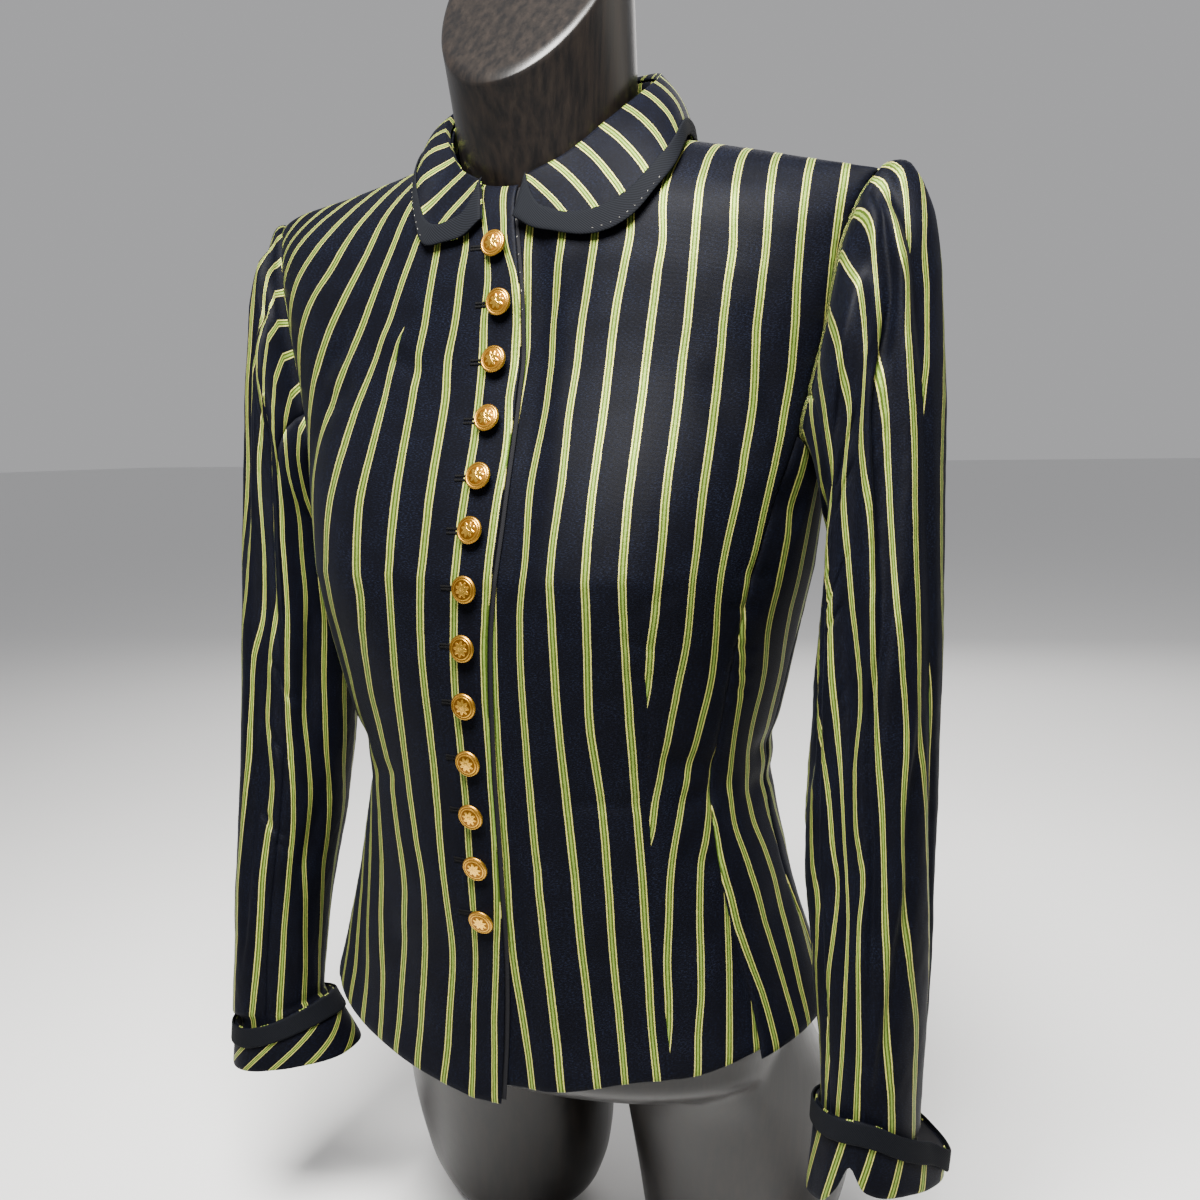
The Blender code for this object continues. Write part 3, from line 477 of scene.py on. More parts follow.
@dataclass(frozen=True)
class Pattern:
    """The cutter's pattern: every edge of the body's panels."""

    underarm: float = 0.485
    underarm_scoop: float = 0.010
    neck_half_width: float = 0.0665
    neck_front: float = 0.058
    neck_back: float = 0.056
    neck_share: float = 0.5
    back_neck_share: float = 0.375

    def hem(self, angle: np.ndarray, side: Side = Side.LEFT) -> np.ndarray:
        """The hem's level at an angle."""
        return along(HEM, side.word, np.degrees(np.abs(angle)))

    def free_edge(self, level: np.ndarray) -> np.ndarray:
        """The angle at which a front ends, past the centre."""
        return -np.arcsin(along(CLOSURE, "overlap", level)
                          / along(BODY, "half_width", level))

    def seam(self, which: str, level: np.ndarray) -> np.ndarray:
        """The angle of the front or back seam, and above the underarm of the armhole."""
        below = along(SIDE_SEAMS, which + "_seam", np.minimum(level, self.underarm))
        above = along(ARMHOLE, which + "_edge", np.maximum(level, self.underarm))
        return np.radians(np.where(level < self.underarm, below, above))

    def on_shoulders(self, x: np.ndarray, y: np.ndarray) -> tuple:
        """The point of the shoulders, chest or back above a place.

        Args:
            x: the place, positive to the wearer's left.
            y: the place, positive behind.

        Returns:
            Angles and levels.
        """
        ahead = y < TORSO.ridge_depth
        low = np.full(np.shape(x), TORSO.bust_level)
        high = np.full(np.shape(x), TORSO.ridge_level)
        for _ in range(40):
            level = (low + high) / 2
            angle = np.arcsin(x / along(BODY, "half_width", level))
            angle = np.where(ahead, angle, math.pi - angle)
            found = TORSO.point(angle, level)[..., 1]
            climbs = np.where(ahead, found < y, found > y)
            low = np.where(climbs, level, low)
            high = np.where(climbs, high, level)
        return angle, level

    def neck_plan(self, turn: np.ndarray, outward: np.ndarray = 0.0) -> tuple:
        """The neckline seen from above at a turn round the neck (0 front, pi back)."""
        cosine = np.cos(turn)
        depth = np.where(cosine > 0, self.neck_front, self.neck_back) + outward
        return ((self.neck_half_width + outward) * np.sin(turn),
                TORSO.ridge_depth - depth * cosine)

    def neckline(self, turn: np.ndarray) -> tuple:
        """Angle and level on the body at a turn round the neck."""
        return self.on_shoulders(*self.neck_plan(np.asarray(turn, float)))

    @cached_property
    def _tops(self) -> dict:
        """Both top edges on a fine grid of shares."""
        share = np.linspace(0, 1, 2001)
        return {which: (share, *self.exact_top(which, share))
                for which in ("front", "back")}

    def top(self, which: str, share: np.ndarray) -> tuple:
        """Angle and level of a front's or a back's top edge, at shares of its length."""
        fine, angle, level = self._tops[which]
        return np.interp(share, fine, angle), np.interp(share, fine, level)

    def exact_top(self, which: str, share: np.ndarray) -> tuple:
        """Angle and level of a panel's neckline and shoulder seam.

        Args:
            which: "front" or "back".
            share: 0 at the middle edge, 1 at the shoulder tip.

        Returns:
            Angles and levels.
        """
        side = math.asin(self.neck_half_width / BODY[-1].half_width)
        start = math.asin(-CLOSURE[-2].overlap / self.neck_half_width)
        neck_share = self.neck_share
        if which == "back":
            side, start, neck_share = math.pi - side, math.pi, self.back_neck_share
        turn = start + (math.pi / 2 - start) * np.minimum(share / neck_share, 1)
        neck_angle, neck_level = self.neckline(turn)
        on = np.clip((share - neck_share) / (1 - neck_share), 0, 1)
        seam = share >= neck_share
        return (np.where(seam, side + (self.tip(which) - side) * on, neck_angle),
                np.where(seam, TORSO.ridge_level, neck_level))

    def tip(self, which: str) -> float:
        """The angle of a panel's shoulder tip."""
        return math.radians(getattr(ARMHOLE[-1], which + "_edge"))

    def middle(self, which: str, level: np.ndarray) -> np.ndarray:
        """The angle of a front's free edge, or of the centre back seam's edge."""
        if which == "front":
            return self.free_edge(level)
        return math.pi - SEAM_GAP / 2 / along(BODY, "back", level)

    def panel_row(self, row: float, share: np.ndarray, which: str,
                  side: Side) -> tuple:
        """Angles and levels of one row of a front or a back.

        Args:
            row: 0 at the hem, 1 at the underarm, 2 at the top.
            share: 0 at the middle edge, 1 at the side.
            which: "front" or "back".
            side: whose hem is followed.

        Returns:
            Angles and levels.
        """
        gap = SEAM_GAP / 2 / BODY[0].half_width * (1 if which == "front" else -1)
        top_angle, top_level = self.top(which, share)
        first_level = self.top(which, np.zeros(1))[1][0]
        edge_top = self.middle(which, np.array(first_level))
        top_share = (top_angle - edge_top) / (self.tip(which) - edge_top)
        climb = max(row - 1, 0.0)
        mix = float(ease(np.array(climb)))
        column_share = share * (1 - mix) + top_share * mix

        def angle(level: np.ndarray) -> np.ndarray:
            """The columns' angles at a level."""
            left, right = self.middle(which, level), self.seam(which, level) - gap
            return left + (right - left) * column_share

        if row < 1:
            underarm = np.full(share.shape, self.underarm)
            hem = self.hem(np.maximum(angle(underarm), 0), side)
            level = hem + (self.underarm - hem) * row
        else:
            level = self.underarm + (top_level - self.underarm) * climb
        return angle(level), level

    def side_row(self, row: float, share: np.ndarray) -> tuple:
        """Angles and levels of one row of a side panel.

        Args:
            row: 0 at the hem, 1 at the scoop under the arm.
            share: 0 at the front seam, 1 at the back seam.

        Returns:
            Angles and levels.
        """
        gap = SEAM_GAP / 2 / BODY[0].half_width
        level = np.full(share.shape, self.underarm)
        for _ in range(2):
            below = np.minimum(level, self.underarm - 1e-6)
            front, back = self.seam("front", below), self.seam("back", below)
            angle = front + gap + (back - front - 2 * gap) * share
            top = self.underarm - self.underarm_scoop * np.sin(share * math.pi)
            hem = self.hem(angle)
            level = hem + (top - hem) * row
        return angle, level


PATTERN = Pattern()


# ---- Where the stripes run ----
@dataclass(frozen=True)
class StripePlan:
    """Where the stripes run: at each level, the place of each stripe in millimetres."""

    rows: tuple
    first: int = 0

    def across(self, place: np.ndarray, level: np.ndarray,
               pitch: float = STRIPE_PITCH) -> np.ndarray:
        """How far across the striped cloth a place lies.

        Args:
            place: way round the body, in metres.
            level: level up the body.
            pitch: way between two stripes beyond the outermost ones.

        Returns:
            Metres across the flat cloth; a stripe lies at each whole pitch.
        """
        levels = np.array([row[0] for row in self.rows], float)
        columns = len(self.rows[0]) - 1
        places = np.array([row[1:] for row in self.rows]).T * MM
        at = [smooth_curve(levels, column, level) for column in places]
        count = (place - at[0]) / pitch
        for k in range(columns - 1):
            inside = k + (place - at[k]) / (at[k + 1] - at[k])
            count = np.where(place > at[k], inside, count)
        beyond = columns - 1 + (place - at[-1]) / pitch
        count = np.where(place > at[-1], beyond, count)
        return (count + self.first) * STRIPE_PITCH


def further(row: tuple, skipped: int, pitch: float, more: int) -> tuple:
    """A row that leaves out the first stripes and goes on past the last.

    Args:
        row: level, then the places of the stripes.
        skipped: how many stripes are left out.
        pitch: way between the stripes past the last.
        more: how many of those there are.

    Returns:
        The new row.
    """
    return (row[0], *row[skipped + 1:],
            *(row[-1] + pitch * k for k in range(1, more + 1)))


# level, then the place of stripes 0 to 8 from the centre to the side
LEFT_FRONT_STRIPES = StripePlan((
    (0.110, 36, 55, 78, 93, 112, 132.5, 153, 173.5, 194),
    (0.140, 31, 50.5, 73, 89.3, 108, 128.5, 149, 169.5, 190),
    (0.165, 26, 47, 68.8, 86.2, 104.5, 125, 145.5, 166, 186.5),
    (0.205, 19.4, 42.5, 64.4, 82.2, 102, 122.5, 143, 163.5, 184),
    (0.255, 18, 38.5, 61.2, 80, 100, 120.5, 141, 161.5, 182),
    (0.300, 17, 36, 57.8, 77.5, 97.6, 118, 138.5, 159, 179.5),
    (0.345, 17, 35, 56, 73.5, 96.7, 117, 137.5, 158, 178.5),
    (0.395, 18, 35, 55.9, 75.2, 96.7, 114, 134.5, 152, 172),
    (0.415, 18.5, 36, 55.8, 76, 96.7, 115, 136, 153.5, 172.5),
    (0.435, 19, 38.8, 55.4, 76, 96.7, 117.2, 138, 155.8, 177),
    (0.465, 20, 37.3, 57.5, 76, 96.7, 117, 138, 160, 180),
    (0.495, 21.5, 40.5, 55.7, 76, 96.7, 117, 138, 160, 180),
    (0.510, 22, 40.5, 57, 76, 97, 117, 138, 159, 180),
    (0.530, 22, 39.4, 58.7, 77.5, 98.8, 119, 139, 158, 180),
    (0.550, 21, 41, 61.5, 81, 101, 120.5, 141, 159.5, 180),
    (0.570, 19.3, 42.9, 63, 84, 103, 121, 143, 161, 180),
    (0.590, 19.2, 41.5, 62, 82.5, 101, 121, 142, 161, 180),
    (0.640, 19, 40, 60.5, 80.5, 99.5, 117.5, 136.5, 156, 176),
    (0.690, 19, 39.5, 60, 80, 99, 116, 134, 152, 172),
))
# the same beyond the waist dart: stripes 5 to 10
LEFT_WAIST_STRIPES = StripePlan((
    (0.110, 71, 91.5, 112, 132, 151, 170.5),
    (0.140, 71, 91.5, 112, 132, 150.8, 169.4),
    (0.165, 73.5, 94, 114.5, 131.8, 150.8, 167.6),
    (0.185, 73.3, 93.8, 114.3, 133.4, 151, 168),
    (0.205, 72.8, 93.1, 113.6, 133.9, 151.8, 169.5),
    (0.230, 74.3, 94.8, 115.3, 134.3, 153, 171.5),
    (0.255, 76.5, 97, 117, 136.5, 156, 176),
    (0.280, 85.5, 106, 121.5, 142.5, 163, 183.5),
    (0.300, 91, 109.5, 127.5, 147, 167.5, 188),
    (0.320, 97, 114.5, 133, 151.5, 172, 192.5),
    (0.345, 102.5, 120.5, 140.5, 160, 180.5, 201),
    (0.370, 108.5, 126.5, 148, 168.5, 189, 209.5),
    (0.395, 111.5, 133, 151.5, 172, 192.5, 213),
    *(further(row, 5, 20.5, 2) for row in LEFT_FRONT_STRIPES.rows if row[0] > 0.4),
), first=5)
# the top front, from the free edge towards the wearer's right: stripes 0 to 7
RIGHT_FRONT_STRIPES = StripePlan((
    (0.110, -10, 6, 29, 50, 71, 86, 108, 130),
    (0.145, -8.2, 6, 24.7, 48.5, 69, 86, 108, 130),
    (0.165, -7.8, 6, 23.5, 47, 68, 86, 108, 130),
    (0.205, -9.8, 4, 21, 44, 64, 90, 111, 132),
    (0.240, -12.5, 3.8, 24, 42.5, 61, 91, 113, 134),
    (0.270, -12.5, 5, 27, 48, 67, 95, 118, 139),
    (0.295, -12.5, 5, 27.5, 52.3, 72, 102, 129, 150),
    (0.330, -12.5, 6.3, 28.5, 55, 80, 116, 140, 162),
    (0.360, -12.5, 7.5, 30, 54, 84, 117, 143, 165),
    (0.395, -13.6, 6.8, 31, 53, 80, 117, 148, 170),
    (0.415, -15.5, 5.5, 30, 53, 77, 118, 150, 175),
    (0.437, -17.3, 4.3, 28, 53, 81, 119, 156, 180),
    (0.455, -18.5, 3, 27, 53, 83.5, 118, 156, 180),
    (0.480, -20, 1.8, 27, 53, 80, 109, 151, 173),
    (0.497, -17, 3, 27, 53, 77, 102, 139, 166),
    (0.515, -17, 4, 29, 52.5, 74, 94.5, 115, 135.5),
    (0.531, -17, 5, 25, 48.5, 70, 90.5, 111, 131.5),
    (0.550, -13.5, 3.4, 23, 45, 66, 86.5, 107, 127.5),
    (0.570, -5, 7, 21, 42.5, 63.5, 84, 104.5, 125),
    (0.585, -2, 11, 24, 44, 65, 85.5, 106, 126.5),
    (0.600, 1, 16, 30, 48, 69, 89.5, 110, 130.5),
    (0.690, 2, 22, 40, 60, 81, 101.5, 122, 142.5),
))
# the same beyond the neck dart: stripes 3 to 10
RIGHT_CHEST_STRIPES = StripePlan((
    *(further(row, 3, 20, 3) for row in RIGHT_FRONT_STRIPES.rows if row[0] < 0.25),
    (0.270, 48, 67, 95, 118, 139, 160, 180, 200),
    *(further(row, 3, 20, 3) for row in RIGHT_FRONT_STRIPES.rows
      if 0.28 < row[0] < 0.46),
    (0.480, 53, 80, 109, 151, 173, 195, 216, 237),
    (0.497, 53, 77, 102, 139, 166, 190, 212, 233),
    (0.518, 50, 72, 88, 119, 155, 184, 206, 228),
    (0.535, 38, 60, 77, 103, 140, 178, 200, 222),
    (0.555, 27, 48, 67, 90, 120, 163, 192, 214),
    (0.577, 17, 38, 58, 78, 102, 136, 177, 204),
    (0.594, 11, 32, 52, 71, 93, 122, 158, 190),
    (0.612, 4, 25, 45, 65, 84, 108, 140, 172),
    (0.640, -4, 16, 36, 56, 75, 97, 121, 148),
    (0.690, -14, 7, 28, 48, 67, 87, 109, 131),
), first=3)
# a side panel, from its front seam backward: stripes 0 to 3
SIDE_STRIPES = StripePlan((
    (0.110, 190, 206, 218, 239),
    (0.150, 182, 200.5, 212, 233),
    (0.174, 176, 195.4, 208, 229),
    (0.198, 167.2, 189.2, 204.5, 226),
    (0.219, 160, 182.9, 201, 222),
    (0.241, 155.3, 175.9, 196, 217),
    (0.259, 151, 170, 190, 210),
    (0.277, 149, 164, 182, 203),
    (0.303, 144, 162.7, 179, 200),
    (0.337, 147, 166.2, 181.5, 202),
    (0.366, 150, 171.1, 191, 212),
    (0.400, 150, 171, 194, 215),
    (0.425, 150, 172, 200.7, 221),
    (0.485, 150, 174, 203, 224),
))


class Dart(NamedTuple):
    """The line of a dart: its angle at a level, in degrees."""

    level: float
    angle: float


WAIST_DART = table(
    Dart,
    (0.100, 39.0),
    (0.142, 39.5),
    (0.175, 40.0),
    (0.216, 41.5),
    (0.248, 43.0),
    (0.290, 45.0),
    (0.334, 44.0),
    (0.360, 43.0),
    (0.387, 41.5),
    (0.410, 40.5),
    (0.480, 39.5),
    (0.690, 37.0),
)
NECK_DART = table(
    Dart,
    (0.100, 24.0),
    (0.200, 25.0),
    (0.280, 33.0),
    (0.330, 38.0),
    (0.380, 33.5),
    (0.430, 32.0),
    (0.460, 30.0),
    (0.499, 25.7),
    (0.516, 22.5),
    (0.540, 18.5),
    (0.570, 14.6),
    (0.600, 12.0),
    (0.690, 8.0),
)
BACK_DART = table(
    Dart,
    (0.100, 148.0),
    (0.300, 146.0),
    (0.480, 147.0),
    (0.690, 150.0),
)


# ---- Cloth shells ----
def grid_normals(points: np.ndarray, closed: bool = False) -> np.ndarray:
    """Outward normals of a grid whose columns run to the left and rows upward.

    Args:
        points: rows by columns by 3.
        closed: whether the last column meets the first.

    Returns:
        Unit vectors.
    """
    wrapped = points
    if closed:
        wrapped = np.concatenate([points[:, -1:], points, points[:, :1]], 1)
    across = np.gradient(wrapped, axis=1)
    if closed:
        across = across[:, 1:-1]
    return unit(np.cross(across, np.gradient(points, axis=0)))


@dataclass
class Sheet:
    """A grid of cloth: its face's points, and the weave at each column of faces."""

    points: np.ndarray
    near: np.ndarray
    far: np.ndarray
    closed: bool = False

    @staticmethod
    def plain(points: np.ndarray, across: np.ndarray, closed: bool = False) -> "Sheet":
        """A sheet whose weave has no jump.

        Args:
            points: rows by columns by 3.
            across: metres across the striped cloth, one more column if closed.
            closed: whether the last column meets the first.

        Returns:
            The sheet.
        """
        sheet = Sheet(points, across, across, closed)
        weave = np.stack([across, lengths(sheet.ring())], -1)
        sheet.near, sheet.far = weave[:, :-1], weave[:, 1:]
        return sheet

    def ring(self) -> np.ndarray:
        """The points, with the first column again behind the last where it closes."""
        if not self.closed:
            return self.points
        return np.concatenate([self.points, self.points[:, :1]], 1)

    def cut(self) -> tuple:
        """Width, length and area of the flat piece, as the mesh shows it."""
        ring = self.ring()
        width = np.linalg.norm(np.diff(ring, axis=1), axis=-1).sum(1).max()
        length = np.linalg.norm(np.diff(ring, axis=0), axis=-1).sum(0).max()
        one = np.cross(ring[1:, 1:] - ring[:-1, :-1], ring[1:, :-1] - ring[:-1, 1:])
        return width, length, np.linalg.norm(one, axis=-1).sum() / 2

    def shell(self, name: str, finishes: tuple, wall: float,
              side: Side) -> bpy.types.Object:
        """Builds a closed wall of cloth inward from the face.

        Args:
            name: the piece's name.
            finishes: materials of the face and of the inside.
            wall: the cloth's thickness.
            side: RIGHT mirrors the sheet.

        Returns:
            The piece.
        """
        rows, columns = self.points.shape[:2]
        spans = columns if self.closed else columns - 1
        normal = grid_normals(self.points, self.closed)
        outer = self.points.copy()
        inner = outer - normal * wall
        index = np.arange(rows * columns).reshape(rows, columns)
        right = np.roll(index, -1, 1)[:, :spans]
        left = index[:, :spans]
        count = rows * columns
        a, b, c, d = left[:-1], right[:-1], right[1:], left[1:]
        face = np.stack([a, b, c, d], -1).reshape(-1, 4)
        weave = np.stack([self.near[:-1], self.far[:-1], self.far[1:], self.near[1:]],
                         2).reshape(-1, 4, 2)
        quads = [face, face[:, ::-1] + count]
        maps = [weave, weave[:, ::-1]]
        rims = []
        out = np.zeros(self.points.shape)
        for i, inward in ((0, 1), (rows - 1, rows - 2)):
            one, two = left[i], right[i]
            uv = np.stack([self.near[i], self.far[i]], 1)
            if i:
                one, two, uv = two[::-1], one[::-1], uv[::-1, ::-1]
            rims.append((one, two, uv))
            out[i] += unit(self.points[i] - self.points[inward])
        for j, inward in () if self.closed else ((columns - 1, columns - 2), (0, 1)):
            one, two = index[:-1, j], index[1:, j]
            edge = self.far[:, -1] if j else self.near[:, 0]
            uv = np.stack([edge[:-1], edge[1:]], 1)
            if not j:
                one, two, uv = two[::-1], one[::-1], uv[::-1, ::-1]
            rims.append((one, two, uv))
            out[:, j] += unit(self.points[:, j] - self.points[:, inward])
        edge = np.linalg.norm(out, axis=-1) > 0
        middle = (outer + inner) / 2 + out * wall * STANDS_OUT
        outer[edge] -= normal[edge] * wall * ROUNDED
        inner[edge] += normal[edge] * wall * ROUNDED
        number = np.full((rows, columns), -1)
        number[edge] = 2 * count + np.arange(edge.sum())
        number = number.reshape(-1)
        for one, two, uv in rims:
            quads += [np.stack([two, one, number[one], number[two]], -1),
                      np.stack([number[two], number[one], one + count, two + count], -1)]
            maps += [uv[:, (1, 0, 0, 1)]] * 2
        points = np.concatenate([outer.reshape(-1, 3), inner.reshape(-1, 3),
                                 middle[edge]])
        points = points * np.array((side.value, 1, 1)) + PLACE
        faces = np.concatenate(quads)
        weave = np.concatenate(maps)
        slots = np.zeros(len(faces), int)
        slots[len(face):2 * len(face)] = 1
        if side is Side.RIGHT:
            faces, weave = faces[:, ::-1], weave[:, ::-1]
        return mesh_piece(name, points, faces, finishes, slots, weave)


def put_in_scene(name: str, data: bpy.types.ID) -> bpy.types.Object:
    """Adds an object with the given data at the origin.

    Args:
        name: the object's name.
        data: its mesh, light or camera.

    Returns:
        The object.
    """
    thing = bpy.data.objects.new(name, data)
    bpy.context.scene.collection.objects.link(thing)
    return thing


def mesh_piece(name: str, points: np.ndarray, faces: np.ndarray, finishes: Sequence[str],
               slots: np.ndarray, weave: np.ndarray) -> bpy.types.Object:
    """Puts a mesh in the scene as a named object.

    Args:
        name: the piece's name.
        points: its vertices.
        faces: its quads, one row of four vertices each.
        finishes: names of its materials.
        slots: each face's material.
        weave: UV coordinates of each face's corners.

    Returns:
        The object.
    """
    data = bpy.data.meshes.new(name)
    data.vertices.add(len(points))
    data.vertices.foreach_set("co", points.astype(np.float32).reshape(-1))
    data.loops.add(faces.size)
    data.loops.foreach_set("vertex_index", faces.astype(np.int32).reshape(-1))
    data.polygons.add(len(faces))
    data.polygons.foreach_set("loop_start", np.arange(0, faces.size, 4, dtype=np.int32))
    data.polygons.foreach_set("loop_total", np.full(len(faces), 4, dtype=np.int32))
    data.polygons.foreach_set("material_index", slots.astype(np.int32))
    layer = data.uv_layers.new(name="UVMap")
    layer.uv.foreach_set("vector", weave.astype(np.float32).reshape(-1))
    data.update(calc_edges=True)
    data.validate()
    data.shade_smooth()
    for finish in finishes:
        data.materials.append(bpy.data.materials[finish])
    return put_in_scene(name, data)


def split_weave(points: np.ndarray, one: np.ndarray, two: np.ndarray,
                kink: int) -> tuple:
    """The flat cloth's coordinates on both sides of each column of faces.

    Args:
        points: rows by columns by 3.
        one: metres across the cloth, for the columns before the kink.
        two: the same for the columns after it.
        kink: the column at which the cloth's coordinate jumps.

    Returns:
        Coordinates at the columns' near and far edges.
    """
    up = lengths(points)
    first = np.arange(points.shape[1] - 1) < kink
    near = np.where(first, one[:, :-1], two[:, :-1])
    far = np.where(first, one[:, 1:], two[:, 1:])
    return np.stack([near, up[:, :-1]], -1), np.stack([far, up[:, 1:]], -1)


# materials of a piece's face and its inside
SATIN = ("striped satin", "lining")
DOUBLE_SATIN = ("striped satin", "striped satin")
RIBBON = ("twill ribbon", "twill ribbon")
FACING = ("facing cloth", "facing cloth")


@dataclass
class Wardrobe:
    """Keeps count of the pieces, and hangs each one on the root."""

    pieces: list = field(default_factory=list)

    def cloth(self, name: str, sheet: Sheet,
              finishes: tuple = SATIN,
              wall: float = CLOTH, side: Side = Side.LEFT) -> None:
        """Args:
            name: the piece's name, and that of the node that it stands for.
            sheet: the grid of its face.
            finishes: materials of its face and its inside.
            wall: its thickness.
            side: RIGHT mirrors it.
        """
        piece = sheet.shell(name, finishes, wall, side)
        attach(piece, "root")
        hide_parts(name)
        self.pieces.append(piece.name)

    def hard(self, piece: bpy.types.Object,
             replaces: Sequence[str] = ()) -> None:
        """Hangs a rigid piece or a thread on the root, and keeps count of it.

        Args:
            piece: the finished object.
            replaces: the nodes that it stands for.
        """
        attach(piece, "root")
        if replaces:
            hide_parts(*replaces)
        self.pieces.append(piece.name)
        LOG.info("%s: %d faces", piece.name, len(piece.data.polygons))


WARDROBE = Wardrobe()


# ---- The body's folds ----
# way round from the centre front, positive to the wearer's left, and level, in mm
BODY_CREASES = table(
    Crease,
    (12, 503, 60, 562, 6.0, 1.6),
    (30, 492, 78, 540, 8.0, -0.9),
    (92, 398, 122, 388, 3.2, 1.0),
    (94, 376, 120, 371, 3.0, 0.8),
    (100, 410, 128, 424, 5.0, 0.9),
    (164, 432, 196, 427, 4.0, 1.4),
    (160, 412, 186, 410, 3.2, 0.9),
    (158, 388, 184, 385, 2.6, 0.8),
    (156, 374, 180, 372, 2.4, 0.8),
    (154, 361, 178, 360, 2.6, 0.7),
    (186, 462, 214, 452, 8.0, 2.4),
    (168, 470, 128, 512, 9.0, 1.8),
    (176, 488, 150, 540, 8.0, 1.5),
    (60, 301, 104, 297, 4.0, 1.3),
    (112, 322, 158, 314, 9.0, 2.0),
    (120, 296, 168, 304, 7.0, 1.6),
    (122, 268, 150, 256, 8.0, 1.3),
    (30, 262, 70, 254, 8.0, 1.0),
    (180, 318, 250, 326, 8.0, 2.2),
    (176, 296, 240, 300, 7.0, 1.8),
    (60, 140, 74, 222, 16.0, 1.8),
    (112, 146, 118, 230, 15.0, 1.6),
    (196, 160, 188, 236, 18.0, 2.0),
    (255, 170, 248, 250, 18.0, 2.0),
    (-44, 507, -74, 517, 5.0, 1.6),
    (-60, 522, -92, 530, 7.0, -0.8),
    (-116, 530, -150, 516, 6.0, 2.0),
    (-108, 512, -140, 498, 7.0, 1.4),
    (-170, 470, -130, 508, 9.0, 1.8),
    (-186, 458, -214, 450, 8.0, 2.0),
    (-60, 306, -110, 300, 7.0, 1.4),
    (-108, 322, -165, 316, 9.0, 2.0),
    (-120, 292, -170, 300, 7.0, 1.6),
    (-160, 404, -186, 402, 3.0, 0.9),
    (-158, 382, -184, 380, 2.6, 0.8),
    (-180, 320, -250, 326, 8.0, 2.2),
    (-60, 135, -72, 215, 16.0, 1.8),
    (-120, 148, -126, 230, 15.0, 1.6),
    (-200, 160, -190, 236, 18.0, 2.0),
    (280, 332, 352, 322, 9.0, 2.4),
    (300, 302, 368, 298, 8.0, 1.8),
    (-280, 334, -348, 322, 9.0, 2.4),
    (-296, 300, -366, 296, 8.0, 1.8),
    (262, 470, 300, 520, 9.0, 2.0),
    (-262, 470, -304, 524, 9.0, 2.0),
    (300, 560, 350, 600, 10.0, 1.4),
    (-300, 556, -348, 600, 10.0, 1.4),
    (318, 172, 322, 250, 18.0, 1.8),
    (-318, 172, -324, 250, 18.0, 1.8),
)


@dataclass(frozen=True)
class Drape:
    """How deep the cloth of the body dips at each place."""

    creases: tuple = BODY_CREASES
    sway: float = 0.00035
    sway_size: float = 0.075
    crumple: float = 0.00010
    crumple_size: float = 0.021
    seam_dip: float = 0.0007
    seam_reach: float = 0.0022
    pucker: float = 0.00016
    pucker_reach: float = 0.007
    pucker_size: float = 0.007
    full_depth: float = 0.0095
    full_angle: float = 68.0
    full_spread: float = 24.0
    full_from: float = 0.28
    full_rise: float = 0.11
    full_to: float = 0.695
    full_fall: float = 0.05

    def depth(self, place: np.ndarray, level: np.ndarray) -> np.ndarray:
        """The dips that every layer of the body's cloth shares."""
        total = creased(place, level, self.creases)
        total += self.sway * ripple(place, level, self.sway_size, Seed.BODY)
        return total + self.crumple * ripple(place, level, self.crumple_size,
                                             Seed.BODY_CRUMPLE)

    def seam(self, away: np.ndarray, level: np.ndarray, seed: int) -> np.ndarray:
        """The dip and the puckers beside a seam.

        Args:
            away: way from the seam, in metres.
            level: way along the seam.
            seed: picks the puckers.

        Returns:
            Depths in metres.
        """
        dip = self.seam_dip * np.exp(-(away / self.seam_reach) ** 2)
        wave = ripple(np.zeros(level.shape), level, self.pucker_size, seed)
        return dip + self.pucker * np.exp(-(away / self.pucker_reach) ** 2) * wave

    def fullness(self, side: Side, angle: np.ndarray, level: np.ndarray) -> np.ndarray:
        """How much fuller the wearer's right side stands at the bust.

        Args:
            side: the wearer's side.
            angle: angle round the body.
            level: level up it.

        Returns:
            Depths in metres, negative where the cloth stands proud.
        """
        if side is Side.LEFT:
            return np.zeros(np.shape(level))
        away = (np.degrees(angle) - self.full_angle) / self.full_spread
        reach = (ease((level - self.full_from) / self.full_rise)
                 * ease((self.full_to - level) / self.full_fall))
        return -self.full_depth * reach * np.exp(-away**2)


DRAPE = Drape()


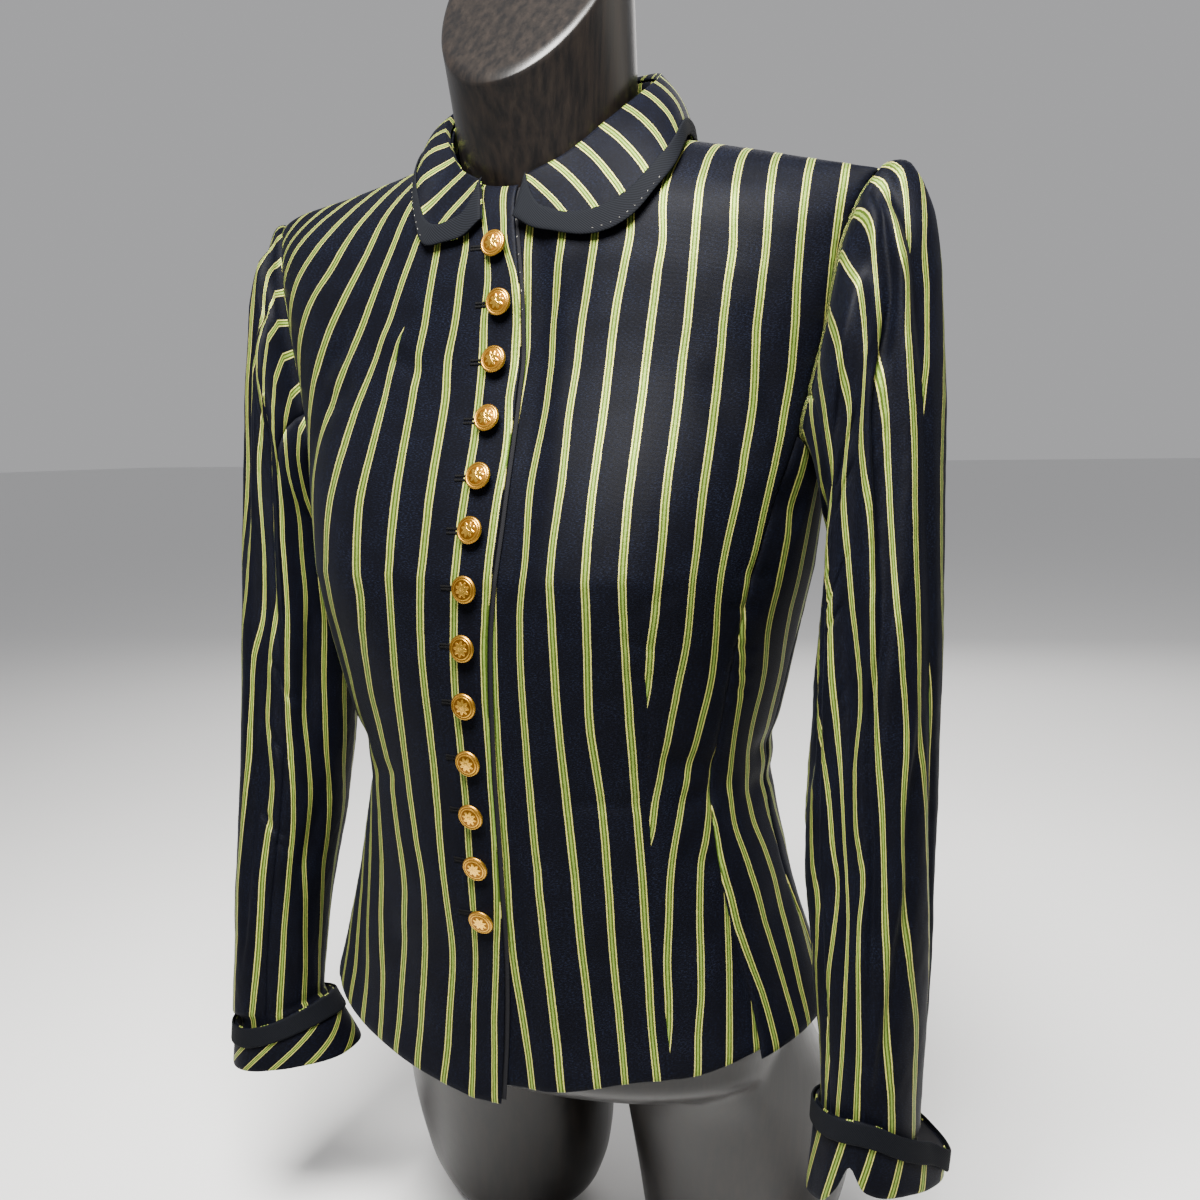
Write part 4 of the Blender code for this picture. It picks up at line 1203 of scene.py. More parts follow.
# ---- Body panels ----
@dataclass
class BodyPanel:
    """A front, a back or a side panel of the body."""

    which: str
    side: Side
    stripes: StripePlan
    beyond: Optional[StripePlan] = None
    dart: Optional[tuple] = None
    sewn_to: float = 0.0
    take: float = 0.0
    spacing: float = 0.003
    width: float = 0.24
    shoulder_shift: float = 0.0002
    under_sink: float = 0.0037
    under_margin: float = 0.012
    under_blend: float = 0.020
    side_columns: int = 34
    lower_rows: int = 120
    upper_rows: int = 100
    dart_rows: tuple = (0.3, 1.0, 1.6)
    dart_limits: tuple = (0.06, 0.94)
    dart_dip: float = 0.8
    sewn_blend: float = 0.02
    take_from: float = 0.12
    take_to: float = 0.48
    take_blend: float = 0.16

    def rows(self) -> np.ndarray:
        """The rows' places: 0 at the hem, 1 at the underarm, 2 at the top."""
        if self.which == "side":
            return np.linspace(0, 1, self.lower_rows)
        return np.r_[np.linspace(0, 1, self.lower_rows)[:-1],
                     np.linspace(1, 2, self.upper_rows)]

    def row(self, place: float, share: np.ndarray) -> tuple:
        """Angles and levels of one row."""
        if self.which == "side":
            return PATTERN.side_row(place, share)
        return PATTERN.panel_row(place, share, self.which, self.side)

    def grid(self) -> tuple:
        """Angles and levels, with one column of points on the dart's line."""
        columns = int(self.width / self.spacing)
        if self.which == "side":
            columns = self.side_columns
        share = np.linspace(0, 1, columns + 1)
        kink = 0
        if self.dart:
            middle = [self.dart_share(place) for place in self.dart_rows]
            kink = int(round(columns * float(np.mean(middle))))
        angles, levels = [], []
        for place in self.rows():
            here = share
            if self.dart:
                cut = self.dart_share(place)
                here = np.r_[np.linspace(0, cut, kink + 1),
                             np.linspace(cut, 1, columns - kink + 1)[1:]]
            angle, level = self.row(place, here)
            angles.append(angle)
            levels.append(level)
        return np.array(angles), np.array(levels), kink

    def dart_share(self, place: float) -> float:
        """The share of a row at which it meets the dart's line."""
        fine = np.linspace(0, 1, 121)
        angle, level = self.row(place, fine)
        ahead = angle - np.radians(along(self.dart, "angle", level))
        if self.which == "back":
            ahead = -ahead
        return float(np.clip(np.interp(0.0, ahead, fine), *self.dart_limits))

    def depth(self, angle: np.ndarray, level: np.ndarray, kink: int) -> np.ndarray:
        """How deep each point lies under the body's smooth surface.

        Args:
            angle: the points' angles, rows by columns.
            level: their levels.
            kink: the column on the dart's line.

        Returns:
            Depths in metres.
        """
        place = TORSO.girth(angle, level)
        depth = DRAPE.depth(place * self.side.value, level)
        depth += DRAPE.fullness(self.side, angle, level)
        run = lengths(TORSO.point(angle, level), 1)
        if self.which != "front":
            depth += DRAPE.seam(run, level, Seed.FRONT_SEAM)
        depth += DRAPE.seam(run[:, -1:] - run, level, Seed.SIDE_SEAM)
        if self.dart:
            away = np.abs(run - run[:, kink:kink + 1])
            sewn = ease((self.sewn_to - level) / self.sewn_blend + 0.5)
            if self.which == "front" and self.side is Side.RIGHT:
                sewn = ease((level - self.sewn_to) / self.sewn_blend + 0.5)
            depth += sewn * DRAPE.seam(away, level, Seed.DART) * self.dart_dip
        if self.which == "front" and self.side is Side.LEFT:
            reach = along(BODY, "half_width", level) * (angle - PATTERN.free_edge(level))
            covered = 2 * along(CLOSURE, "overlap", level) + self.under_margin
            depth += self.under_sink * (1 - ease((reach - covered) / self.under_blend))
        return depth

    def weave(self, angle: np.ndarray, level: np.ndarray, kink: int,
              points: np.ndarray) -> tuple:
        """The flat cloth's coordinates on both sides of each column of faces.

        Args:
            angle: the points' angles, rows by columns.
            level: their levels.
            kink: the column on the dart's line.
            points: the points themselves.

        Returns:
            Coordinates at the columns' near and far edges.
        """
        place = TORSO.girth(angle, level)
        if self.which == "back":
            half = TORSO.girth(np.full(angle.shape, math.pi), level)
            place = half - place + STRIPE_PITCH / 2
        one = self.stripes.across(place, level)
        two = one
        if self.beyond:
            two = self.beyond.across(place, level)
        elif self.dart:
            two = one + (self.take * ease((self.take_to - level) / self.take_blend)
                         * ease((level - self.take_from) / self.take_blend))
        if self.which == "back":
            one, two = two, one
        return split_weave(points, one, two, kink)

    def build(self) -> None:
        angle, level, kink = self.grid()
        if self.which == "back":
            angle, level = angle[:, ::-1], level[:, ::-1]
            kink = angle.shape[1] - 1 - kink
        points = TORSO.inset(angle, level, self.depth(angle, level, kink))
        shift = {"front": -1, "back": 1, "side": 0}[self.which]
        points[..., 1] += shift * self.shoulder_shift
        sheet = Sheet(points, *self.weave(angle, level, kink, points))
        WARDROBE.cloth(f"{self.which}_{self.side.word}", sheet,
                       side=self.side)


@dataclass
class Facing:
    """The dark strip that shows past the free edge of the top front."""

    shows: float = 0.0025
    width: float = 0.014
    sink: float = CLOTH + 0.0006
    wall: float = 0.0010
    hem_lift: float = 0.002

    def build(self) -> None:
        hem = float(PATTERN.hem(np.array(0.0), Side.RIGHT)) + self.hem_lift
        angles, levels = [], []
        for past in np.linspace(-self.width, self.shows, 8):
            overlap = CLOSURE[-2].overlap + past
            turn = np.array([math.asin(overlap / PATTERN.neck_half_width)])
            top = PATTERN.neckline(turn)[1][0]
            level = np.r_[np.linspace(hem, PATTERN.underarm, 110),
                          np.linspace(PATTERN.underarm, top, 80)[1:]]
            x = along(CLOSURE, "overlap", level) + past
            angles.append(np.arcsin(x / along(BODY, "half_width", level)))
            levels.append(level)
        angle, level = np.stack(angles, 1), np.stack(levels, 1)
        depth = self.sink + DRAPE.depth(TORSO.girth(angle, level), level)
        points = TORSO.inset(angle, level, depth)
        points[..., 1] -= 0.0002
        across = np.linspace(0, self.width + self.shows, 8) + np.zeros(angle.shape)
        sheet = Sheet.plain(points, across)
        WARDROBE.cloth("front_facing", sheet, FACING,
                       self.wall)


@dataclass
class Body:
    """The jacket's body: six panels and the facing."""

    def build(self) -> None:
        """Makes every panel."""
        BodyPanel("front", Side.LEFT, LEFT_FRONT_STRIPES, LEFT_WAIST_STRIPES, WAIST_DART,
                  0.412).build()
        BodyPanel("front", Side.RIGHT, RIGHT_FRONT_STRIPES, RIGHT_CHEST_STRIPES,
                  NECK_DART, 0.497).build()
        even = StripePlan(((0.1, 0.0, 20.5), (0.4, 0.0, 20.5), (0.69, 0.0, 20.5)))
        for side in Side:
            BodyPanel("side", side, SIDE_STRIPES).build()
            BodyPanel("back", side, even, None, BACK_DART, 0.48, 0.022).build()
        Facing().build()


# ---- Sleeves ----
class SleeveSection(NamedTuple):
    """Where the sleeve's outer and inner sides lie at a step down the arm."""

    crown_x: float
    crown_z: float
    inner_x: float
    inner_z: float
    centre_y: float
    half_depth: float
    freed: float


SLEEVE = table(
    SleeveSection,
    (0.217, 0.665, 0.182, 0.470, -0.012, 0.058, 0.40),
    (0.229, 0.660, 0.182, 0.452, -0.013, 0.055, 0.85),
    (0.240, 0.632, 0.180, 0.430, -0.014, 0.052, 1.00),
    (0.246, 0.580, 0.176, 0.400, -0.016, 0.051, 1.00),
    (0.249, 0.500, 0.172, 0.360, -0.019, 0.050, 1.00),
    (0.250, 0.400, 0.171, 0.310, -0.024, 0.048, 1.00),
    (0.249, 0.310, 0.174, 0.255, -0.031, 0.045, 1.00),
    (0.248, 0.230, 0.180, 0.210, -0.038, 0.042, 1.00),
    (0.246, 0.160, 0.187, 0.155, -0.044, 0.039, 1.00),
    (0.244, 0.112, 0.189, 0.118, -0.047, 0.038, 1.00),
)


class Tuck(NamedTuple):
    """A row inside the cuff: how far in and how far down it lies, as shares."""

    inward: float
    down: float


TUCKS = table(Tuck, (1.0, 1.0), (1.0, 0.6), (1.0, 0.25), (0.8, 0.12), (0.4, 0.04))


class SleeveFold(NamedTuple):
    """A long fold down the sleeve: its turn and width in degrees, and its steps."""

    turn: float
    width: float
    depth: float
    start: float
    end: float


SLEEVE_FOLDS = table(
    SleeveFold,
    (58, 16, 0.010, 0.5, 6.0),
    (22, 14, 0.007, 0.8, 5.0),
    (95, 18, 0.008, 2.0, 8.5),
    (-30, 16, 0.007, 1.5, 7.0),
    (-75, 18, 0.008, 3.0, 9.0),
    (150, 22, 0.008, 2.0, 7.0),
)
# Turn in degrees and way down the crown in millimetres.
LEFT_SLEEVE_CREASES = table(
    Crease,
    (88, 26, 112, 38, 4.0, 1.8),
    (90, 60, 118, 66, 4.5, 2.0),
    (94, 92, 118, 84, 4.0, 1.8),
    (98, 150, 122, 158, 4.0, 1.5),
    (100, 186, 120, 180, 3.5, 1.2),
    (60, 512, 90, 508, 2.5, 0.8),
    (60, 520, 88, 516, 2.2, 0.7),
    (8, 330, -8, 470, 8.0, 1.2),
    (-60, 110, -48, 260, 9.0, 3.0),
    (-95, 230, -80, 380, 9.0, 2.6),
    (150, 150, 140, 300, 9.0, 2.6),
    (165, 330, 152, 460, 9.0, 2.4),
)
RIGHT_SLEEVE_CREASES = table(
    Crease,
    (48, 11, 86, 16, 3.0, 2.8),
    (60, 30, 100, 40, 4.0, 1.6),
    (100, 250, 134, 262, 6.0, 1.8),
    (96, 318, 128, 322, 5.0, 1.6),
    (90, 392, 134, 400, 5.0, 1.6),
    (120, 408, 140, 418, 3.0, 1.2),
    (-56, 120, -50, 260, 9.0, 3.0),
    (-90, 240, -78, 390, 9.0, 2.6),
    (152, 150, 142, 300, 9.0, 2.4),
    (166, 330, 150, 460, 9.0, 2.2),
)
# step, then the turn of stripes 0 to 7, in degrees
LEFT_SLEEVE_STRIPES = StripePlan((
    (0, 14, 34, 52, 80, 102, 122, 142),
    (1, 18, 39, 59, 86, 108, 128, 148),
    (1.8, 20, 45, 66, 91, 113, 133, 153),
    (2.3, 31, 54, 70, 95, 116, 136, 156),
    (2.9, 38, 63, 77, 98, 119, 139, 159),
    (3.3, 37, 64, 85, 104, 124, 143, 162),
    (3.7, 40, 63, 88, 106, 127, 147, 166),
    (4.2, 40, 60, 84, 104, 124, 145, 165),
    (4.7, 38, 58, 76, 99, 116, 140, 162),
    (5.2, 38, 56, 73, 93, 113, 134, 156),
    (5.5, 37, 54, 73, 87, 111, 130, 152),
    (6, 33.5, 48, 72, 82, 106, 119, 141),
    (6.4, 31, 44, 68, 87, 102, 112, 134),
    (6.9, 21, 46, 62, 86, 99, 108, 130),
    (7.3, 13, 45, 60, 79, 97, 104, 126),
    (7.7, 8, 41, 59, 83, 94, 108, 130),
    (8.2, 0, 33, 57, 84, 95, 116, 138),
    (8.7, -10, 20, 54, 84, 100, 122, 144),
    (9.3, -14, 16, 48, 86, 106, 128, 150),
    (10, -18, 12, 44, 86, 110, 134, 158),
), first=3)
# the same beyond the sharp fold, on the crown's side: stripes 0 to 2
LEFT_CROWN_STRIPES = StripePlan((
    (0, -34, -16, 2),
    (1, -32, -13, 5),
    (1.6, -29, -10, 7),
    (2.3, -24, -4, 13),
    (2.8, -14, 7, 22),
    (3.2, -8, 14, 30),
    (3.7, -6, 15, 33),
    (4.2, -3, 21, 39),
    (4.7, 4, 30, 48),
    (5.2, 7, 32, 52),
    (5.8, 3, 28, 50),
    (6.4, -10, 14, 36),
    (6.9, -15, 8, 30),
    (8, -26, -4, 18),
    (10, -40, -18, 4),
))
RIGHT_SLEEVE_STRIPES = StripePlan((
    (0, 10, 30, 50, 68, 86, 106, 126),
    (0.9, 24, 42, 58, 74, 92, 112, 132),
    (1.5, 34, 48, 66, 84, 103, 122, 142),
    (2, 40, 56, 88, 103, 115, 134, 154),
    (3, 47, 70, 95, 111, 124.6, 143, 163),
    (4, 45, 66, 89, 107, 124.6, 144, 164),
    (5, 48, 70, 93, 109, 125, 144, 164),
    (5.5, 46, 68, 91, 104, 124, 143, 163),
    (6, 36, 58, 79, 97, 125, 143, 164),
    (6.5, 32, 54, 76, 96, 130, 147, 168),
    (6.8, 30, 52, 74, 107, 133, 150, 172),
    (7.3, 26, 47, 69, 109, 137, 152, 176),
    (8, 20, 42, 66, 109, 138.6, 156, 180),
    (8.5, 18, 40, 66, 110, 139, 162, 186),
    (9, 16, 38, 66, 110, 140, 168, 192),
    (10, 12, 36, 62, 102, 138, 170, 196),
))


@dataclass(frozen=True)
class FoldLine:
    """A sharp fold down a sleeve, through a table of steps and turns in degrees."""

    path: tuple
    depth: float
    before: float
    after: float
    rise: float = 0.7
    fall: float = 0.9

    def turn(self, step: np.ndarray) -> np.ndarray:
        """The line's turn at a step, in degrees."""
        steps, turns = np.array(self.path, float).T
        return smooth_curve(steps, turns, step)

    def fold(self, degrees: np.ndarray, step: np.ndarray) -> np.ndarray:
        """How deep the fold lies at each place."""
        away = degrees - self.turn(step)
        width = np.where(away < 0, self.before, self.after)
        first, last = self.path[0][0], self.path[-1][0]
        reach = ease((step - first) / self.rise) * ease((last - step) / self.fall)
        return self.depth * reach * np.exp(-(away / width) ** 2)


SWALLOWING_FOLD = FoldLine((
    (0.0, 11.0), (1.6, 13.0), (2.3, 21.0), (2.7, 24.0), (3.0, 26.0), (3.4, 25.0),
    (3.9, 26.0), (4.6, 27.0), (5.2, 25.0), (5.8, 20.0), (6.4, 14.0), (6.9, 6.0),
    (7.5, -2.0), (8.2, -12.0), (9.0, -20.0), (10.0, -26.0)), 0.0022, 4.0, 9.0)
LEFT_FOLD_LINES = (
    SWALLOWING_FOLD,
    FoldLine(((1.0, 22), (1.7, 30), (2.3, 44), (2.9, 52), (3.2, 57), (3.8, 70),
              (4.4, 69), (5.0, 66), (5.6, 65), (6.2, 74), (6.7, 74), (7.2, 70),
              (7.8, 71), (8.6, 70)), 0.0048, 8.0, 4.5),
    FoldLine(((6.0, 34), (6.6, 40), (7.0, 46), (7.6, 48), (8.1, 58), (8.8, 68),
              (9.6, 80)), -0.0020, 4.0, 9.0),
    FoldLine(((6.2, 24), (6.6, 30), (7.0, 36), (7.6, 38), (8.1, 47), (8.8, 57),
              (9.6, 68)), 0.0022, 8.0, 5.0),
    FoldLine(((2.0, 100), (2.6, 103), (3.4, 112), (4.4, 112), (5.2, 104), (6.0, 96),
              (6.6, 97)), 0.0022, 6.0, 6.0),
)
RIGHT_FOLD_LINES = (
    FoldLine(((1.6, 90), (2.2, 100), (3.0, 106), (4.0, 104), (5.0, 106), (5.6, 112),
              (6.2, 114), (7.0, 124)), 0.0034, 5.0, 9.0),
    FoldLine(((5.6, 84), (6.0, 88), (6.5, 86), (7.2, 84), (8.2, 88), (9.4, 84)),
             0.0026, 9.0, 5.0),
    FoldLine(((0.8, 34), (1.6, 60), (2.6, 78), (3.6, 76), (4.8, 78)), 0.0022, 6.0, 6.0),
)


@dataclass
class Sleeve:
    """A bent sleeve of two panels, set into the armhole."""

    side: Side
    creases: tuple
    folds: tuple
    stripes: StripePlan
    cuff: "Cuff"
    crown_stripes: Optional[StripePlan] = None
    press: float = 0.0
    press_in: float = 3.0
    press_out: float = 4.0
    fold_in: float = 1.2
    fold_out: float = 1.5
    armhole_gap: float = 0.0008
    turned_in: float = 0.007
    cuff_share: float = 0.87
    above_cuff_fold: float = 0.004
    least_tuck: float = 0.002
    allowance_rows: int = 4
    stripe_degrees: float = 22.0
    front_seam: float = math.radians(122)
    back_seam: float = math.radians(-112)
    rows: int = 190
    degrees_each: float = 2.6
    sway: float = 0.0006
    crumple: float = 0.00014
    swell_size: float = 0.045
    length: tuple = ()
    reach: tuple = (0.02, 0.05)
    hang: float = 0.6
    hang_steps: float = 3.6
    hang_behind: float = 70.0
    hang_under: float = 145.0
    hang_spread: float = 103.0
    radius: float = 0.05
    seam_radius: float = 0.042
    end_radius: float = 0.040
    sway_size: float = 0.080
    crumple_size: float = 0.020
    flat_crown: float = 0.012
    kink_before: float = 0.2
    crown_rise: float = 0.3
    turned_down: float = 0.2

    @cached_property
    def armhole(self) -> tuple:
        """The armhole from the shoulder tip down the front and up the back."""
        samples = 60
        under = PATTERN.underarm
        level = np.linspace(TORSO.ridge_level, under, samples)
        front = PATTERN.seam("front", np.maximum(level, under))
        back = PATTERN.seam("back", np.maximum(level, under))
        share = np.linspace(0, 1, samples // 2)
        scoop_angle = front[-1] + (back[-1] - front[-1]) * share
        scoop_level = under - PATTERN.underarm_scoop * np.sin(share * math.pi)
        angle = np.r_[front, scoop_angle[1:-1], back[::-1]]
        height = np.r_[level, scoop_level[1:-1], level[::-1]]
        points = TORSO.inset(angle, height,
                             DRAPE.fullness(self.side, angle, height))
        length = lengths(points)
        lowest = length[samples + samples // 4 - 1] / length[-1]
        even = np.linspace(0, 1, 2 * samples + 1)
        points = np.stack([np.interp(even * length[-1], length, points[:, k])
                           for k in range(3)], -1)[:-1]
        for _ in range(8):
            points = (np.roll(points, 1, 0) + 2 * points + np.roll(points, -1, 0)) / 4
        points = np.r_[points, points[:1]]
        turn = math.pi * np.where(even <= lowest, even / lowest,
                                  1 + (even - lowest) / (1 - lowest))
        return turn, points

    def smooth_point(self, turn: np.ndarray, step: np.ndarray) -> np.ndarray:
        """A point of the sleeve's surface with its broad folds alone.

        Args:
            turn: way round it: 0 at the crown, 90 degrees in front.
            step: way down it, from 0 at the armhole.

        Returns:
            Points in the body's own datum.
        """
        turn, step = floats(turn, step)
        rows = np.arange(len(SLEEVE) + 1)
        loop_turn, loop = self.armhole
        wrapped = np.mod(turn, 2 * math.pi)
        hole = np.stack([np.interp(wrapped, loop_turn, loop[:, k]) for k in range(3)],
                        -1)
        hole = hole + self.armhole_gap * np.array([1.0, 0.0, self.crown_rise])

        def read(column: str) -> np.ndarray:
            """A column of the table at the steps."""
            values = np.array([getattr(row, column) for row in SLEEVE])
            return smooth_curve(rows.astype(float), np.r_[values[0], values], step)

        pressed = (self.press * ease(step / self.press_in)
                   * ease((len(SLEEVE) - step) / self.press_out))
        crown = np.stack([read("crown_x") - pressed, read("crown_z")], -1)
        inner = np.stack([read("inner_x"), read("inner_z")], -1)
        fold = np.zeros(turn.shape)
        for row in SLEEVE_FOLDS:
            away = np.mod(turn - math.radians(row.turn) + math.pi, 2 * math.pi) - math.pi
            reach = (ease((step - row.start) / self.fold_in)
                     * ease((row.end - step) / self.fold_out))
            fold += row.depth * reach * np.exp(-(away / math.radians(row.width)) ** 2)
        middle, half = (crown + inner) / 2, (crown - inner) / 2
        swell = 1 - fold / self.swell_size
        ring = middle + half * (np.cos(turn) * swell)[..., None]
        y = read("centre_y") - read("half_depth") * np.sin(turn) * swell
        free = np.stack([ring[..., 0], y, ring[..., 1]], -1)
        freed = np.r_[0.0, [row.freed for row in SLEEVE]]
        weight = np.interp(step, rows, freed)[..., None]
        return hole * (1 - weight) + free * weight

    def point(self, turn: np.ndarray, step: np.ndarray,
              depth: np.ndarray) -> np.ndarray:
        """A point moved inward by a depth along the sleeve's normal.

        Args:
            turn: as for smooth_point.
            step: as for smooth_point.
            depth: how far inward.

        Returns:
            Points in the body's own datum.
        """
        middle = np.clip(step, self.reach[1], len(SLEEVE) - self.reach[1])
        normal = unit(across_surface(self.smooth_point, turn, middle, self.reach))
        return self.smooth_point(turn, step) - normal * depth[..., None]

    def steps(self) -> np.ndarray:
        """Steps at even lengths down the crown, from the wrist upward."""
        step = np.linspace(0, len(SLEEVE), 400)
        length = lengths(self.smooth_point(np.zeros(400), step))
        self.length = (step, length)
        return np.interp(np.linspace(length[-1], 0, self.rows), length, step)

    def hanging(self, degrees: np.ndarray, step: np.ndarray) -> np.ndarray:
        """Turns by which the stripes rise into the back of the armhole.

        Args:
            degrees: turns round the rings.
            step: steps down the sleeve.

        Returns:
            Degrees, unchanged at the front.
        """
        rise = self.hang * (1 - ease(step / self.hang_steps))
        behind = (degrees * ease(-degrees / self.hang_behind)
                  + math.degrees(self.back_seam)
                  * ease((degrees - self.hang_under) / self.hang_spread))
        return degrees + rise * behind

    def tucked(self, wrist: np.ndarray) -> np.ndarray:
        """Rows that carry the sleeve on down inside its cuff.

        Args:
            wrist: the wrist's row of points.

        Returns:
            Rows of points, the lowest first.
        """
        across, deep = self.cuff.half_size
        x, y = self.cuff.centre
        out = np.arctan2((y - wrist[:, 1]) / deep, (wrist[:, 0] - x) / across)
        fold = self.cuff.edges(out % (2 * math.pi))[1] + self.above_cuff_fold
        drop = np.maximum(wrist[:, 2] - fold, self.least_tuck)
        ring = np.stack([x + self.cuff_share * across * np.cos(out),
                         y - self.cuff_share * deep * np.sin(out)], -1)
        return np.array([np.column_stack([
            wrist[:, :2] + (ring - wrist[:, :2]) * tuck.inward,
            wrist[:, 2] - drop * tuck.down]) for tuck in TUCKS])

    def panel(self, which: str, first: float, last: float) -> None:
        """Args:
            which: "top" or "under".
            first: the turn at which it starts.
            last: the turn at which it ends.
        """
        columns = int(math.degrees(last - first) / self.degrees_each)
        steps = self.steps()
        kink = columns
        turns = np.linspace(last, first, columns + 1) + np.zeros((len(steps), 1))
        if self.crown_stripes and which == "top":
            cut = np.radians(SWALLOWING_FOLD.turn(steps))[:, None]
            kink = int(columns * (last - self.kink_before) / (last - first))
            turns = np.hstack([last + (cut - last) * np.linspace(0, 1, kink + 1),
                               cut + (first - cut) * np.linspace(
                                   0, 1, columns - kink + 1)[1:]])
        step = steps[:, None] + np.zeros(turns.shape)
        down = np.interp(step, *self.length)
        degrees = np.degrees(turns)
        depth = creased(degrees * MM, down, self.creases)
        depth += creased((degrees - 360) * MM, down, self.creases)
        for fold in self.folds:
            depth += fold.fold(degrees, step)
        seed = Seed.LEFT_SLEEVE if self.side is Side.LEFT else Seed.RIGHT_SLEEVE
        ring = self.radius * np.stack([np.cos(turns), np.sin(turns)])
        depth += self.sway * ripple(ring[0], down + ring[1], self.sway_size, seed)
        depth += self.crumple * ripple(ring[0] + down, ring[1] * 2, self.crumple_size,
                                       seed + 1)
        depth *= ease(down / self.flat_crown)
        edge = np.minimum(turns - first, last - turns) * self.seam_radius
        depth += DRAPE.seam(edge, down, seed + 2)
        points = self.point(turns, step, depth)
        degrees = self.hanging(degrees, step)
        pitch = self.stripe_degrees * MM
        one, two = (plan.across(degrees * MM, step, pitch)
                    for plan in (self.stripes, self.crown_stripes or self.stripes))
        inward = np.linspace(0.3, 1, self.allowance_rows)[:, None, None] * self.turned_in
        allowance = points[-1:] - inward * np.array((1.0, 0.0, self.turned_down))
        points = np.concatenate([self.tucked(points[0]), points, allowance])
        plain = np.full((self.allowance_rows, turns.shape[1]), STRIPE_PITCH / 2)
        one, two = (np.concatenate([np.repeat(plan[:1], len(TUCKS), 0), plan, plain])
                    for plan in (one, two))
        sheet = Sheet(points, *split_weave(points, one, two, kink))
        word = self.side.word
        WARDROBE.cloth(f"sleeve_{which}_{word}", sheet,
                       side=self.side)

    def build(self) -> None:
        """Makes both panels."""
        gap = SEAM_GAP / 2 / self.end_radius
        self.panel("top", self.back_seam + gap, self.front_seam - gap)
        self.panel("under", self.front_seam + gap, self.back_seam + 2 * math.pi - gap)


# ---- Collar ----
class CollarRow(NamedTuple):
    """The collar at a turn round the neck: its roll, its edge and the ribbon's start."""

    turn: float
    roll_level: float
    roll_out: float
    left_x: float
    left_y: float
    right_x: float
    right_y: float
    ribbon_start: float


COLLAR = table(
    CollarRow,
    (12, 0.6625, 0.0075, 0.012, -0.0770, 0.010, -0.0770, 0.12),
    (18, 0.6660, 0.0070, 0.024, -0.0785, 0.020, -0.0790, 0.60),
    (26, 0.6705, 0.0060, 0.040, -0.0785, 0.035, -0.0790, 0.78),
    (36, 0.6785, 0.0040, 0.057, -0.0775, 0.050, -0.0775, 0.82),
    (48, 0.6895, 0.0025, 0.075, -0.0740, 0.061, -0.0700, 0.83),
    (60, 0.7000, 0.0030, 0.091, -0.0665, 0.069, -0.0580, 0.83),
    (72, 0.7095, 0.0030, 0.100, -0.0530, 0.076, -0.0430, 0.83),
    (84, 0.7180, 0.0030, 0.099, -0.0340, 0.081, -0.0270, 0.83),
    (96, 0.7245, 0.0030, 0.092, -0.0110, 0.083, -0.0080, 0.83),
    (112, 0.7310, 0.0030, 0.083, 0.0200, 0.081, 0.0180, 0.83),
    (132, 0.7370, 0.0030, 0.066, 0.0470, 0.066, 0.0460, 0.83),
    (156, 0.7400, 0.0030, 0.036, 0.0670, 0.036, 0.0670, 0.83),
    (180, 0.7410, 0.0030, 0.000, 0.0730, 0.000, 0.0730, 0.83),
)


# degrees round the neck, and how far round and how slantwise the stripes lie there
STRIPE_RUN = ((12, 0), (42, 49), (72, 104), (102, 158), (132, 206), (180, 274))
STRIPE_LEAN = ((12, 40), (50, 31), (85, 4), (120, 0), (180, 0))


def from_front(turn: np.ndarray) -> np.ndarray:
    """The turn from the front, the same on both sides."""
    return np.where(turn > math.pi, 2 * math.pi - turn, turn)


